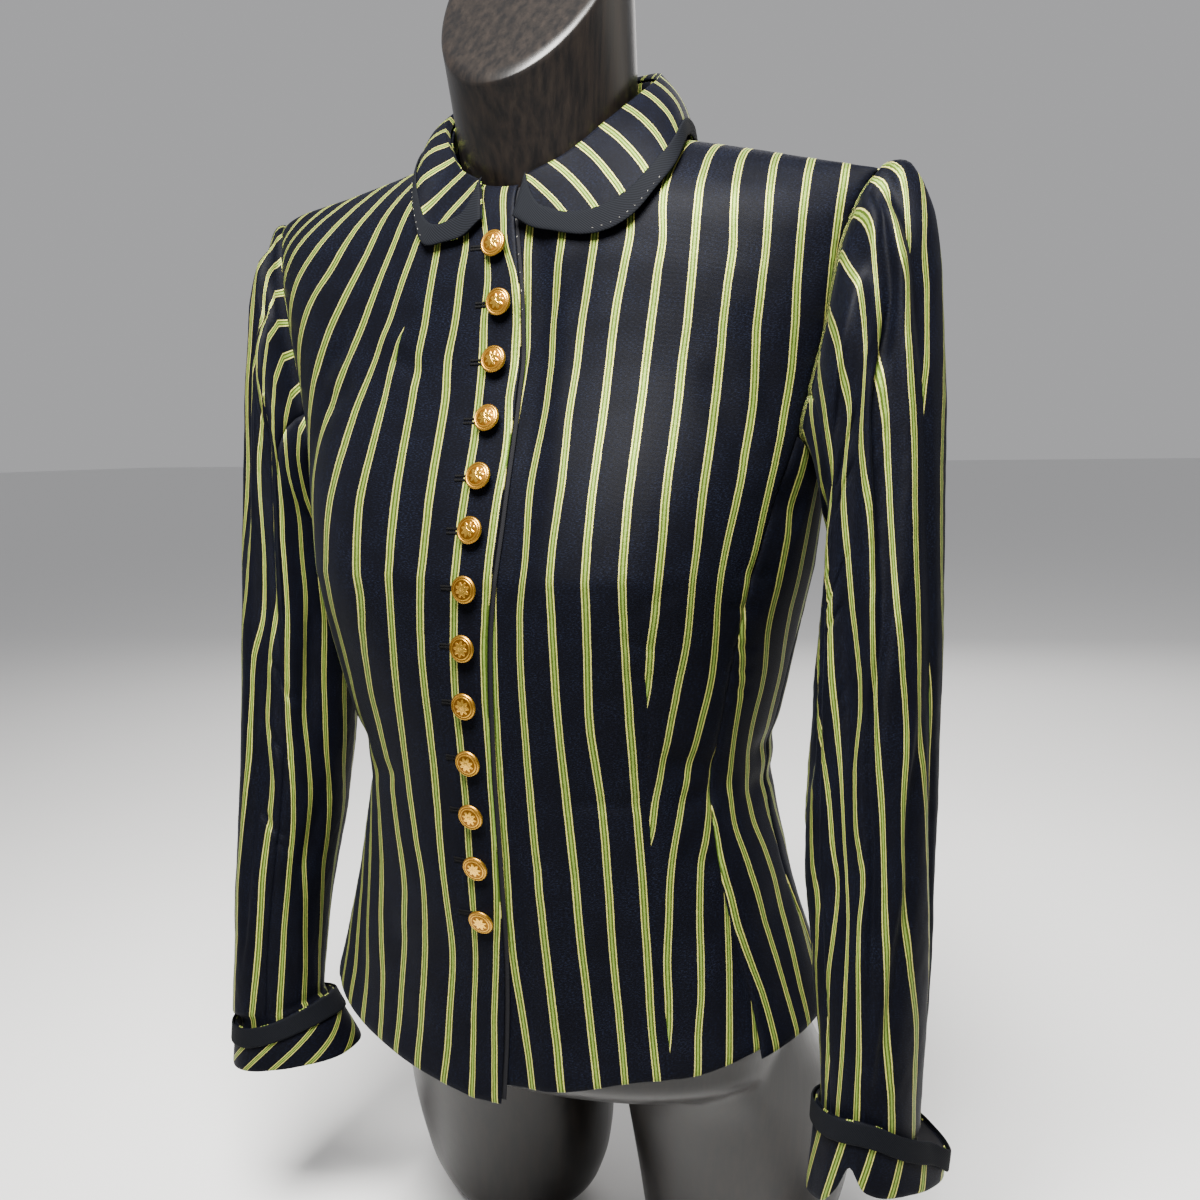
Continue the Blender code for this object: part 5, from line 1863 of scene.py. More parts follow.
@dataclass
class Collar:
    """The round collar: the stand, the fall over it and the ribbon along its edge."""

    roll: float = 0.0030
    clearance: float = 0.0026
    bow: float = 0.007
    stand_lift: float = 0.0014
    columns: int = 300
    sway: float = 0.00035
    roll_share: float = 0.12
    past_edge: float = 1.02
    stand_ends: int = 20
    stand_rows: int = 14
    stand_radius: float = 0.066
    ribbon_radius: float = 0.08
    edge_radius: float = 0.09
    width: float = 0.06
    sway_size: float = 0.055
    lean: float = 1.15
    first_stripe: float = 5.0
    bow_rise: float = 0.8
    bow_from: float = 0.8
    reach: tuple = (0.01, 0.02)

    @cached_property
    def _edges(self) -> tuple:
        """The fall's outer edge on each side, at even turns."""
        degrees = np.linspace(COLLAR[0].turn - 2, 180, 700)
        lines = []
        for side in ("left", "right"):
            angle, level = PATTERN.on_shoulders(along(COLLAR, side + "_x", degrees),
                                                along(COLLAR, side + "_y", degrees))
            lines.append(TORSO.inset(angle, level, -self.clearance - CLOTH))
        return degrees, lines[0], lines[1]

    def smooth_point(self, turn: np.ndarray, share: np.ndarray) -> np.ndarray:
        """A point of the fall's surface without its sway.

        Args:
            turn: way round the neck: 0 in front, pi behind.
            share: 0 inside the neck, 1 at the outer edge.

        Returns:
            Points in the body's own datum.
        """
        turn, share = floats(turn, share)
        mirror = np.where(turn > math.pi, -1.0, 1.0)
        half_turn = from_front(turn)
        degrees = np.degrees(half_turn)
        roll_out = along(COLLAR, "roll_out", degrees)
        roll_level = along(COLLAR, "roll_level", degrees)
        x, y = PATTERN.neck_plan(half_turn, roll_out - self.roll)
        root = np.stack([x, y, roll_level - self.roll], -1)
        x, y = PATTERN.neck_plan(half_turn, roll_out)
        roll = np.stack([x, y, roll_level], -1)
        fine, left, right = self._edges
        edge = np.stack([np.where(mirror > 0, np.interp(degrees, fine, left[:, k]),
                                  np.interp(degrees, fine, right[:, k]))
                         for k in range(3)], -1)
        bow = np.stack([np.sin(half_turn), -np.cos(half_turn),
                        np.full(turn.shape, self.bow_rise)], -1)
        started = ease((half_turn - math.radians(COLLAR[0].turn)) / self.bow_from)
        middle = (roll + edge) / 2 + bow * self.bow * started[..., None]
        t = np.clip((share - self.roll_share) / (1 - self.roll_share), 0, None)[..., None]
        fall = (1 - t) ** 2 * roll + 2 * t * (1 - t) * middle + t * t * edge
        start = np.clip(share / self.roll_share, 0, 1)[..., None]
        point = np.where(start < 1, root + (roll - root) * start, fall)
        point[..., 0] *= mirror
        return point

    def point(self, turn: np.ndarray, share: np.ndarray,
              depth: np.ndarray = 0.0) -> np.ndarray:
        """A point moved inward by a depth along the collar's normal.

        Args:
            turn: as for smooth_point.
            share: as for smooth_point.
            depth: how far inward.

        Returns:
            Points in the body's own datum.
        """
        turn, share = floats(turn, share)
        middle = np.clip(share, self.reach[1], 2.0)
        normal = unit(across_surface(self.smooth_point, turn, middle, self.reach))
        wave = self.sway * ripple(turn * self.edge_radius, share * self.width,
                                  self.sway_size, Seed.COLLAR)
        wave = wave * ease(share / 0.5)
        return self.smooth_point(turn, share) + normal * (depth + wave)[..., None]

    def across(self, turn: np.ndarray, share: np.ndarray) -> np.ndarray:
        """Metres across the striped cloth: the stripes fan out from the neck."""
        degrees = np.degrees(turn)
        side = np.where(degrees > 180, 360 - degrees, degrees)
        run = np.interp(side, *zip(*STRIPE_RUN))
        lean = np.interp(side, *zip(*STRIPE_LEAN))
        return (run - lean * (share - 0.5) * self.lean + self.first_stripe) * MM

    def build(self) -> None:
        """Makes the three pieces."""
        start = math.radians(COLLAR[0].turn)
        turns = np.linspace(start, 2 * math.pi - start, self.columns + 1)
        self.stand(turns[self.stand_ends:-self.stand_ends])
        share = np.r_[np.linspace(0, self.roll_share, 5),
                      np.linspace(self.roll_share, 1, 30)[1:]][::-1]
        share, turn = np.meshgrid(share, turns, indexing="ij")
        sheet = Sheet.plain(self.point(turn, share), self.across(turn, share))
        WARDROBE.cloth("collar_fall", sheet, DOUBLE_SATIN)
        self.ribbon(turns)

    def stand(self, turn: np.ndarray) -> None:
        """The upright band inside the neck.

        Args:
            turn: its columns' turns round the neck.
        """
        half_turn = from_front(turn)
        base = TORSO.point(*PATTERN.neckline(half_turn))[..., 2] + self.stand_lift
        top = (along(COLLAR, "roll_level", np.degrees(half_turn))
               - self.roll - CLOTH - self.stand_lift)
        x, y = PATTERN.neck_plan(half_turn, 0.0)
        x = np.where(turn > math.pi, -x, x)
        climb = np.linspace(0, 1, self.stand_rows)[:, None]
        points = np.stack(floats(x, y, base + (top - base) * climb), -1)
        sheet = Sheet.plain(points, turn * self.stand_radius + np.zeros(climb.shape))
        WARDROBE.cloth("collar_stand", sheet,
                       DOUBLE_SATIN)

    def ribbon(self, turns: np.ndarray) -> None:
        """The twill ribbon along the collar's outer edge.

        Args:
            turns: its columns' turns round the neck.
        """
        half_turn = from_front(turns)
        first = along(COLLAR, "ribbon_start", np.degrees(half_turn))
        share = first + (self.past_edge - first) * np.linspace(1, 0, 12)[:, None]
        turn = turns + np.zeros(share.shape)
        lift = np.full(share.shape, -SEAM_GAP - RIBBON_CLOTH)
        sheet = Sheet.plain(self.point(turn, share, lift), turn * self.ribbon_radius)
        WARDROBE.cloth("collar_ribbon", sheet, RIBBON,
                       RIBBON_CLOTH)


# ---- Cuffs ----
class CuffRow(NamedTuple):
    """A cuff at a turn round the wrist: its edges and how far they stand out."""

    turn: float
    top: float
    bottom: float
    top_out: float
    bottom_out: float


LEFT_CUFF = table(
    CuffRow,
    (0, 0.108, 0.083, 0.004, 0.008),
    (30, 0.118, 0.087, 0.001, 0.004),
    (60, 0.129, 0.089, 0.000, 0.002),
    (78, 0.132, 0.093, 0.000, 0.001),
    (90, 0.132, 0.109, 0.000, 0.000),
    (102, 0.132, 0.093, 0.000, 0.001),
    (120, 0.132, 0.080, 0.000, 0.003),
    (150, 0.131, 0.077, 0.000, 0.006),
    (180, 0.128, 0.078, 0.000, 0.004),
    (225, 0.119, 0.084, 0.000, 0.003),
    (270, 0.109, 0.087, 0.003, 0.006),
    (315, 0.100, 0.084, 0.008, 0.010),
    (342, 0.095, 0.080, 0.014, 0.012),
    (360, 0.108, 0.083, 0.004, 0.008),
)
RIGHT_CUFF = table(
    CuffRow,
    (0, 0.107, 0.078, 0.000, 0.003),
    (60, 0.106, 0.077, 0.000, 0.003),
    (90, 0.107, 0.078, 0.000, 0.002),
    (120, 0.111, 0.080, 0.000, 0.003),
    (150, 0.116, 0.081, 0.000, 0.008),
    (180, 0.119, 0.081, 0.000, 0.016),
    (210, 0.118, 0.082, 0.000, 0.020),
    (250, 0.112, 0.084, 0.000, 0.010),
    (300, 0.108, 0.081, 0.000, 0.004),
    (360, 0.107, 0.078, 0.000, 0.003),
)


@dataclass
class Cuff:
    """A turned-back cuff with a ribbon round its upper edge."""

    side: Side
    rows: tuple
    centre: tuple
    slant: float
    half_size: tuple = (0.0300, 0.0405)
    ribbon_width: float = 0.012
    ribbon_gap: float = 0.0012
    ribbon_past: float = 0.06
    weave_radius: float = 0.03589
    columns: int = 120
    levels: int = 18
    sway: float = 0.0004
    sway_size: float = 0.045
    wrist: float = 0.04
    height: float = 0.03
    corner: int = 12
    corner_spread: float = 5.0

    def edges(self, turn: np.ndarray) -> list:
        """The table's four columns at the turns, with their corners rounded off.

        Args:
            turn: way round the wrist.

        Returns:
            The upper edge's and the lower edge's levels, and how far they stand out.
        """
        fine = np.arange(0, 360, 1.0)
        reach = self.corner
        weight = np.exp(-(np.arange(-reach, reach + 1) / self.corner_spread) ** 2)
        weight /= weight.sum()
        columns = []
        for k in range(1, 5):
            values = np.interp(fine, [row.turn for row in self.rows],
                               [row[k] for row in self.rows])
            wrapped = np.r_[values[-reach:], values, values[:reach]]
            values = np.convolve(wrapped, weight, "valid")
            columns.append(np.interp(np.degrees(turn), np.r_[fine, 360.0],
                                     np.r_[values, values[0]]))
        return columns

    def point(self, turn: np.ndarray, share: np.ndarray, outward: float) -> np.ndarray:
        """A point of the cuff.

        Args:
            turn: way round the wrist.
            share: 0 at the upper edge, 1 at the lower edge.
            outward: how far outward it is moved.

        Returns:
            Points in the body's own datum.
        """
        top, bottom, top_out, bottom_out = self.edges(turn)
        out = top_out + (bottom_out - top_out) * share + outward
        out = out + self.sway * ripple(
            np.cos(turn) * self.wrist, np.sin(turn) * self.wrist + share * self.height,
            self.sway_size, Seed.CUFF + self.side.value)
        x = self.centre[0] + (self.half_size[0] + out) * np.cos(turn)
        y = self.centre[1] - (self.half_size[1] + out) * np.sin(turn)
        return np.stack([x, y, top + (bottom - top) * share], -1)

    def build(self) -> None:
        """Makes the cuff and its ribbon."""
        turn = np.linspace(2 * math.pi, 0, self.columns + 1)
        share, turns = np.meshgrid(np.linspace(1, 0, self.levels), turn, indexing="ij")
        points = self.point(turns, share, 0.0)
        across = (2 * math.pi - turns) * self.weave_radius
        sheet = Sheet.plain(points[:, :-1], across + self.slant * points[..., 2], True)
        word = self.side.word
        WARDROBE.cloth(f"cuff_{word}", sheet,
                       side=self.side)
        top, bottom, _, _ = self.edges(turns)
        band = np.minimum(self.ribbon_width / (top - bottom), 0.8)
        band = band * np.linspace(1, -self.ribbon_past, self.levels)[:, None]
        points = self.point(turns, band, self.ribbon_gap + RIBBON_CLOTH)
        sheet = Sheet.plain(points[:, :-1], across, True)
        WARDROBE.cloth(f"cuff_ribbon_{word}", sheet,
                       RIBBON, RIBBON_CLOTH, self.side)


# ---- Buttons ----
class ButtonPlace(NamedTuple):
    """How far a button hangs from its even place, in millimetres."""

    aside: float
    above: float


BUTTON_PLACES = table(
    ButtonPlace,
    (0.0, 0.0), (6.0, -0.6), (5.2, -0.8), (6.0, -2.2), (6.4, -2.8), (4.8, -1.2),
    (3.4, -1.2), (0.7, -1.6), (0.0, -1.2), (0.2, -1.0), (0.0, 0.6), (1.3, 3.4),
    (3.4, 5.0),
)


class Ring(NamedTuple):
    """A ring of a button's relief: where it lies, its width and its height."""

    at: float
    width: float
    height: float

    def at_reach(self, reach: np.ndarray) -> np.ndarray:
        """How strong the ring is at a share of the radius."""
        return np.exp(-((reach - self.at) / self.width) ** 2)


ROPE = Ring(0.905, 0.055, 0.00042)
GROOVE = Ring(0.80, 0.030, 0.00022)
BEAD = Ring(0.73, 0.028, 0.00018)
# shares of the radius, and heights, down a button's side and its shank
BUTTON_SIDE = ((1.0, 0.0057), (0.985, 0.0050), (0.93, 0.0045), (0.272, 0.0041),
               (0.272, 0.0009), (0.18, 0.0008), (0.02, 0.0008))


@dataclass
class ButtonRow:
    """Thirteen domed, embossed shank buttons down the centre front."""

    first_level: float = 0.567
    pitch: float = 0.0336
    x: float = 0.001
    droop_from: int = 8
    radius: float = 0.0081
    shank_radius: float = 0.0022
    rings: int = 34
    spokes: int = 96
    strands: int = 32
    petals: int = 8
    rim_height: float = 0.0056
    dome_height: float = 0.0016
    flower_height: float = 0.00026
    vein_height: float = 0.00010
    eye_height: float = 0.00016
    droop_each: float = 0.07
    spin: float = 0.35

    def face(self, reach: np.ndarray, turn: np.ndarray) -> tuple:
        """Height of the button's face and how polished it is.

        Args:
            reach: share of the radius.
            turn: way round the face.

        Returns:
            Heights in metres, and 1 on the proud parts.
        """
        dome = self.rim_height + self.dome_height * np.sqrt(np.clip(1 - reach**2, 0, 1))
        rope, groove, bead = (ring.at_reach(reach) for ring in (ROPE, GROOVE, BEAD))
        twist = 0.5 + 0.5 * np.cos(self.strands * (turn + 2.2 * (reach - 0.9)))
        petal = 0.5 + 0.5 * np.cos(self.petals * turn)
        flower = ease((0.60 * (0.62 + 0.38 * petal) - reach) / 0.05)
        vein = np.exp(-((reach * np.sin(self.petals * turn / 2)) / 0.05) ** 2) * flower
        eye = np.exp(-(reach / 0.14) ** 4)
        relief = (ROPE.height * rope * (0.45 + 0.55 * twist) - GROOVE.height * groove
                  + BEAD.height * bead + self.flower_height * flower
                  - self.vein_height * vein + self.eye_height * eye)
        proud = np.clip(rope * twist + bead + flower * (1 - 0.6 * vein) + eye, 0, 1)
        return dome + relief, proud

    def shape(self) -> tuple:
        """One button facing +Z: its points, its quads and its relief."""
        reach = np.r_[0.02, np.linspace(0.07, 0.96, self.rings - 5), 0.985]
        turn = np.linspace(0, 2 * math.pi, self.spokes + 1)[:-1]
        reach, turns = np.meshgrid(reach, turn, indexing="ij")
        height, proud = self.face(reach, turns)
        radius = reach * self.radius
        for share, level in BUTTON_SIDE:
            radius = np.vstack([radius, np.full(self.spokes, share * self.radius)])
            height = np.vstack([height, np.full(self.spokes, level)])
            proud = np.vstack([proud, np.full(self.spokes, 0.5)])
            turns = np.vstack([turns, turn])
        points = np.stack([radius * np.cos(turns), radius * np.sin(turns), height], -1)
        rows = len(points)
        index = np.arange(rows * self.spokes).reshape(rows, self.spokes)
        after = np.roll(index, -1, 1)
        quads = np.stack([index[1:], after[1:], after[:-1], index[:-1]], -1)
        return points.reshape(-1, 3), quads.reshape(-1, 4), proud.reshape(-1), index

    def places(self) -> list:
        """Each button's distance from the centre and level."""
        level = np.linspace(self.first_level, 0.15, 800)
        spine = TORSO.point(np.arcsin(self.x / along(BODY, "half_width", level)), level)
        length = lengths(spine)
        return [(self.x + place.aside * MM, place.above * MM
                 + float(np.interp(number * self.pitch, length, level)))
                for number, place in enumerate(BUTTON_PLACES)]

    def build(self) -> None:
        """Makes every button in its place."""
        points, quads, proud, index = self.shape()
        caps = [index[0], index[-1][::-1]]
        for number, (x, here) in enumerate(self.places()):
            angle = math.asin(x / float(along(BODY, "half_width", here)))
            seat = TORSO.inset(angle, here, np.array(0.0))
            normal = TORSO.inset(angle, here, np.array(-1.0)) - seat
            droop = max(0, number + 1 - self.droop_from) * self.droop_each
            outward = Vector(normal)
            outward.z -= droop
            seat = Vector(seat) + outward.normalized() * droop * self.shank_radius
            turned = outward.to_track_quat("Z", "Y").to_matrix()
            spin = self.spin * math.sin(number * 2.3)
            spun = points.copy()
            spun[:, 0] = points[:, 0] * math.cos(spin) - points[:, 1] * math.sin(spin)
            spun[:, 1] = points[:, 0] * math.sin(spin) + points[:, 1] * math.cos(spin)
            placed = spun @ np.array(turned).T + np.array(seat) + PLACE
            self.button(f"button_{number + 1:02d}", placed, quads, proud, caps)

    def button(self, name: str, points: np.ndarray, quads: np.ndarray,
               proud: np.ndarray, caps: Sequence[np.ndarray]) -> None:
        """Args:
            name: its name.
            points: its vertices.
            quads: its faces, all but the two caps.
            proud: how polished each vertex is.
            caps: the faces that close its middle and its foot.
        """
        faces = [tuple(quad) for quad in quads.tolist()]
        faces += [tuple(cap.tolist()) for cap in caps]
        data = bpy.data.meshes.new(name)
        data.from_pydata(points.tolist(), [], faces)
        data.attributes.new("relief", "FLOAT", "POINT").data.foreach_set(
            "value", proud.astype(np.float32))
        data.shade_smooth()
        data.materials.append(bpy.data.materials["gilt"])
        WARDROBE.hard(put_in_scene(name, data), (name,))


# ---- Node trees ----
@dataclass
class Graph:
    """A short way to write the nodes of a tree."""

    tree: bpy.types.NodeTree

    def feed(self, node: bpy.types.Node, inputs: dict) -> None:
        """Sets a node's inputs to values, or links them to sockets, by name or number."""
        for key, value in inputs.items():
            if isinstance(value, bpy.types.NodeSocket):
                self.tree.links.new(value, node.inputs[key])
            else:
                node.inputs[key].default_value = value

    def node(self, kind: str, inputs: Optional[dict] = None,
             **settings) -> bpy.types.Node:
        """Adds a node.

        Args:
            kind: the node's type.
            inputs: values or links of its inputs, by name or number.
            **settings: the node's own settings.

        Returns:
            The node.
        """
        made = self.tree.nodes.new(kind)
        for key, value in settings.items():
            setattr(made, key, value)
        self.feed(made, inputs or {})
        return made

    def math(self, operation: str, *values) -> bpy.types.NodeSocket:
        """A sum of sockets or numbers."""
        return self.node("ShaderNodeMath", dict(enumerate(values)),
                         operation=operation).outputs[0]

    def mix(self, share, one, two, blend: str = "MIX") -> bpy.types.NodeSocket:
        """A blend of two colours."""
        return self.node("ShaderNodeMix", {0: share, 6: one, 7: two}, data_type="RGBA",
                         blend_type=blend).outputs[2]

    def noise(self, place, scale: float, detail: float,
              rough: float = 0.5) -> bpy.types.NodeSocket:
        """Soft noise at a place."""
        return self.node("ShaderNodeTexNoise", {"Vector": place, "Scale": scale,
                                                "Detail": detail, "Roughness": rough}
                         ).outputs[0]

    def span(self, value, low: float, high: float, start: float = 0.0, end: float = 1.0,
             shape: str = "LINEAR") -> bpy.types.NodeSocket:
        """Start at the low value, end at the high one, and between them in between."""
        return self.node("ShaderNodeMapRange", {0: value, 1: low, 2: high, 3: start,
                                                4: end}, interpolation_type=shape
                         ).outputs[0]

    def stretched(self, place, scale: tuple) -> bpy.types.NodeSocket:
        """The place with each direction scaled."""
        return self.node("ShaderNodeMapping", {0: place, 3: scale}).outputs[0]

    def band(self, value, low: float, high: float, soft: float) -> bpy.types.NodeSocket:
        """1 where the value lies between two limits, with soft ends."""
        rising = self.span(value, low - soft, low + soft, 0, 1, "SMOOTHSTEP")
        falling = self.span(value, high - soft, high + soft, 1, 0, "SMOOTHSTEP")
        return self.math("MULTIPLY", rising, falling)

    def bump(self, height, strength: float) -> bpy.types.NodeSocket:
        """A normal that follows a height in metres."""
        return self.node("ShaderNodeBump", {"Height": height, "Strength": strength,
                                            "Distance": 1.0}).outputs[0]


def new_tree(name: str, kind: str, sockets: Sequence[tuple]) -> Graph:
    """An empty node group.

    Args:
        name: the group's name.
        kind: the tree's type.
        sockets: each socket's label, way and type.

    Returns:
        The group's graph.
    """
    tree = bpy.data.node_groups.new(name, kind)
    for label, way, socket in sockets:
        tree.interface.new_socket(label, in_out=way, socket_type="NodeSocket" + socket)
    return Graph(tree)


# ---- Threads ----
def stitch_tree() -> bpy.types.NodeTree:
    """The Geometry Nodes tree that lays short, uneven stitches along lines."""
    sizes = ("Spacing", "Length", "Thickness", "Slant", "Unevenness")
    graph = new_tree("stitch run", "GeometryNodeTree", (
        ("Geometry", "INPUT", "Geometry"), *((size, "INPUT", "Float") for size in sizes),
        ("Thread", "INPUT", "Material"), ("Geometry", "OUTPUT", "Geometry")))
    given = graph.node("NodeGroupInput").outputs
    curve = graph.node("GeometryNodeMeshToCurve", {"Mesh": given["Geometry"]})
    even = graph.node("GeometryNodeResampleCurve", {
        "Curve": curve.outputs["Curve"], "Length": given["Spacing"]}, mode="LENGTH")
    capsule = graph.node("GeometryNodeMeshUVSphere", {
        "Segments": 6, "Rings": 4, "Radius": 1.0})
    tangent = graph.node("GeometryNodeInputTangent")
    outward = graph.node("GeometryNodeInputNamedAttribute", {"Name": "out"},
                         data_type="FLOAT_VECTOR")
    aligned = graph.node("FunctionNodeAlignRotationToVector", {
        "Vector": tangent.outputs[0]}, axis="X")
    aligned = graph.node("FunctionNodeAlignRotationToVector", {
        "Rotation": aligned.outputs[0], "Vector": outward.outputs[0]}, axis="Z",
                         pivot_axis="X")
    uneven = graph.node("FunctionNodeRandomValue", {
        2: graph.math("SUBTRACT", 0.0, given["Unevenness"]), 3: given["Unevenness"],
        "Seed": 7}, data_type="FLOAT").outputs[1]
    lean = graph.node("ShaderNodeCombineXYZ", {
        "Z": graph.math("ADD", given["Slant"], uneven)})
    lean = graph.node("FunctionNodeEulerToRotation", {0: lean.outputs[0]})
    spun = graph.node("FunctionNodeRotateRotation", {
        "Rotation": aligned.outputs[0], "Rotate By": lean.outputs[0]},
                      rotation_space="LOCAL")
    size = graph.node("ShaderNodeCombineXYZ", {
        "X": given["Thickness"], "Z": given["Thickness"],
        "Y": graph.math("MULTIPLY_ADD", uneven, given["Length"], given["Length"])})
    laid = graph.node("GeometryNodeInstanceOnPoints", {
        "Points": even.outputs["Curve"], "Instance": capsule.outputs["Mesh"],
        "Rotation": spun.outputs[0], "Scale": size.outputs[0]})
    real = graph.node("GeometryNodeRealizeInstances", {0: laid.outputs[0]})
    dressed = graph.node("GeometryNodeSetMaterial", {
        "Geometry": real.outputs[0], "Material": given["Thread"]})
    graph.node("NodeGroupOutput", {"Geometry": dressed.outputs[0]})
    return graph.tree


@dataclass
class StitchRun:
    """A run of stitches along lines on the cloth."""

    name: str
    spacing: float
    length: float
    thickness: float
    thread: str
    slant: float = 0.0
    unevenness: float = 0.15
    lines: list = field(default_factory=list)

    def line(self, points: np.ndarray, out: np.ndarray) -> None:
        """Adds a line.

        Args:
            points: its points in the part's frame.
            out: the outward directions there.
        """
        self.lines.append((np.asarray(points, float), np.asarray(out, float)))

    def build(self, tree: bpy.types.NodeTree, slot: str) -> None:
        """Args:
            tree: the Geometry Nodes tree.
            slot: not used.
        """
        data = bpy.data.meshes.new(self.name + "_lines")
        points = np.concatenate([line for line, _ in self.lines])
        edges, start = [], 0
        for line, _ in self.lines:
            edges += [(start + k, start + k + 1) for k in range(len(line) - 1)]
            start += len(line)
        data.from_pydata(points.tolist(), edges, [])
        out = np.concatenate([out for _, out in self.lines]).astype(np.float32)
        data.attributes.new("out", "FLOAT_VECTOR", "POINT").data.foreach_set(
            "vector", out.reshape(-1))
        base = put_in_scene(self.name + "_lines", data)
        run = base.modifiers.new("stitches", "NODES")
        run.node_group = tree
        values = {"Spacing": self.spacing, "Length": self.length / 2,
                  "Thickness": self.thickness / 2, "Slant": self.slant,
                  "Unevenness": self.unevenness,
                  "Thread": bpy.data.materials[self.thread]}
        for item in tree.interface.items_tree:
            if item.in_out == "INPUT" and item.name in values:
                run[item.identifier] = values[item.name]
        base.update_tag()
        graph = bpy.context.evaluated_depsgraph_get()
        graph.update()
        made = bpy.data.meshes.new_from_object(base.evaluated_get(graph))
        bpy.data.objects.remove(base)
        made.name = self.name
        made.shade_smooth()
        WARDROBE.hard(put_in_scene(self.name, made))


@dataclass
class Threads:
    """Worked buttonholes, tacks beside the opening, and stitches round the collar."""

    hole_reach: float = 0.0130
    hole_start: float = 0.0052
    hole_spread: float = 0.0008
    lift: float = 0.0004
    tack_levels: tuple = (0.583, 0.535)
    tack_past: float = 0.0012
    tack_sink: float = 0.0005
    pick_turns: tuple = ((40, 66), (300, 322))
    pick_share: float = 0.985

    def surface(self, x: np.ndarray, level: np.ndarray, depth: float) -> tuple:
        """A line on the front.

        Args:
            x: its places, positive to the wearer's left.
            level: its levels.
            depth: how far under the cloth's face it lies.

        Returns:
            Points and outward directions.
        """
        angle = np.arcsin(x / along(BODY, "half_width", level))
        depth = DRAPE.depth(TORSO.girth(angle, level), level) + depth
        points = TORSO.inset(angle, level, depth)
        return points + PLACE, TORSO.inset(angle, level, depth - 1.0) - points

    def build(self) -> None:
        """Makes every run."""
        tree = stitch_tree()
        holes = StitchRun("buttonhole_threads", spacing=0.00045, length=0.0020,
                          thickness=0.00090, thread="black thread", slant=0.1,
                          unevenness=0.3)
        for x, level in ButtonRow().places():
            start = x - self.hole_start
            for offset in (-self.hole_spread, self.hole_spread):
                x = np.linspace(start, start - self.hole_reach, 8)
                holes.line(*self.surface(x, np.full(8, level + offset), -self.lift))
        holes.build(tree, "black_facing")
        tacks = StitchRun("facing_tacks", spacing=0.0105, length=0.0011,
                          thickness=0.00035, thread="pale thread", slant=1.2,
                          unevenness=0.5)
        levels = np.linspace(*self.tack_levels, 40)
        x = along(CLOSURE, "overlap", levels) + self.tack_past
        tacks.line(*self.surface(x, levels, CLOTH + self.tack_sink))
        tacks.build(tree, "black_facing")
        collar = Collar()
        picks = StitchRun("collar_stitches", spacing=0.0050, length=0.0010,
                          thickness=0.00030, thread="pale thread", slant=1.4,
                          unevenness=0.4)
        for first, last in self.pick_turns:
            turn = np.radians(np.linspace(first, last, 120))
            share = np.full(120, self.pick_share)
            lift = np.full(120, -SEAM_GAP - RIBBON_CLOTH)
            points = collar.point(turn, share, lift)
            out = collar.point(turn, share, lift - 1.0) - points
            picks.line(points + PLACE, out)
        picks.build(tree, "twill_ribbon")


# ---- Dress form ----
class FormSection(NamedTuple):
    """The form at a level: its depth under the cloth, its share and its drop."""

    level: float
    depth: float
    share: float
    drop: float


FORM = table(
    FormSection,
    (0.094, 0.030, 0.35, 0.000),
    (0.098, 0.030, 0.62, 0.000),
    (0.108, 0.030, 0.82, 0.000),
    (0.130, 0.030, 0.94, 0.000),
    (0.160, 0.026, 1.00, 0.000),
    (0.200, 0.018, 1.00, 0.000),
    (0.250, 0.011, 1.00, 0.000),
    (0.300, 0.008, 1.00, 0.000),
    (0.340, 0.008, 1.00, 0.000),
    (0.570, 0.008, 1.00, 0.000),
    (0.600, 0.008, 1.00, 0.000),
    (0.630, 0.004, 0.965, 0.004),
    (0.655, 0.001, 0.950, 0.006),
)


class StumpSection(NamedTuple):
    """A thigh stump's ellipse at a level."""

    level: float
    x: float
    y: float
    half_width: float
    half_depth: float


STUMP = table(
    StumpSection,
    (-0.055, 0.076, 0.046, 0.026, 0.026),
    (-0.052, 0.077, 0.050, 0.034, 0.034),
    (-0.044, 0.081, 0.060, 0.050, 0.049),
    (-0.028, 0.087, 0.068, 0.064, 0.060),
    (-0.005, 0.090, 0.071, 0.0715, 0.067),
    (0.020, 0.091, 0.069, 0.0750, 0.071),
    (0.045, 0.0905, 0.064, 0.0755, 0.073),
    (0.075, 0.0885, 0.055, 0.0735, 0.075),
    (0.105, 0.0850, 0.038, 0.068, 0.077),
    (0.150, 0.079, 0.014, 0.061, 0.078),
)


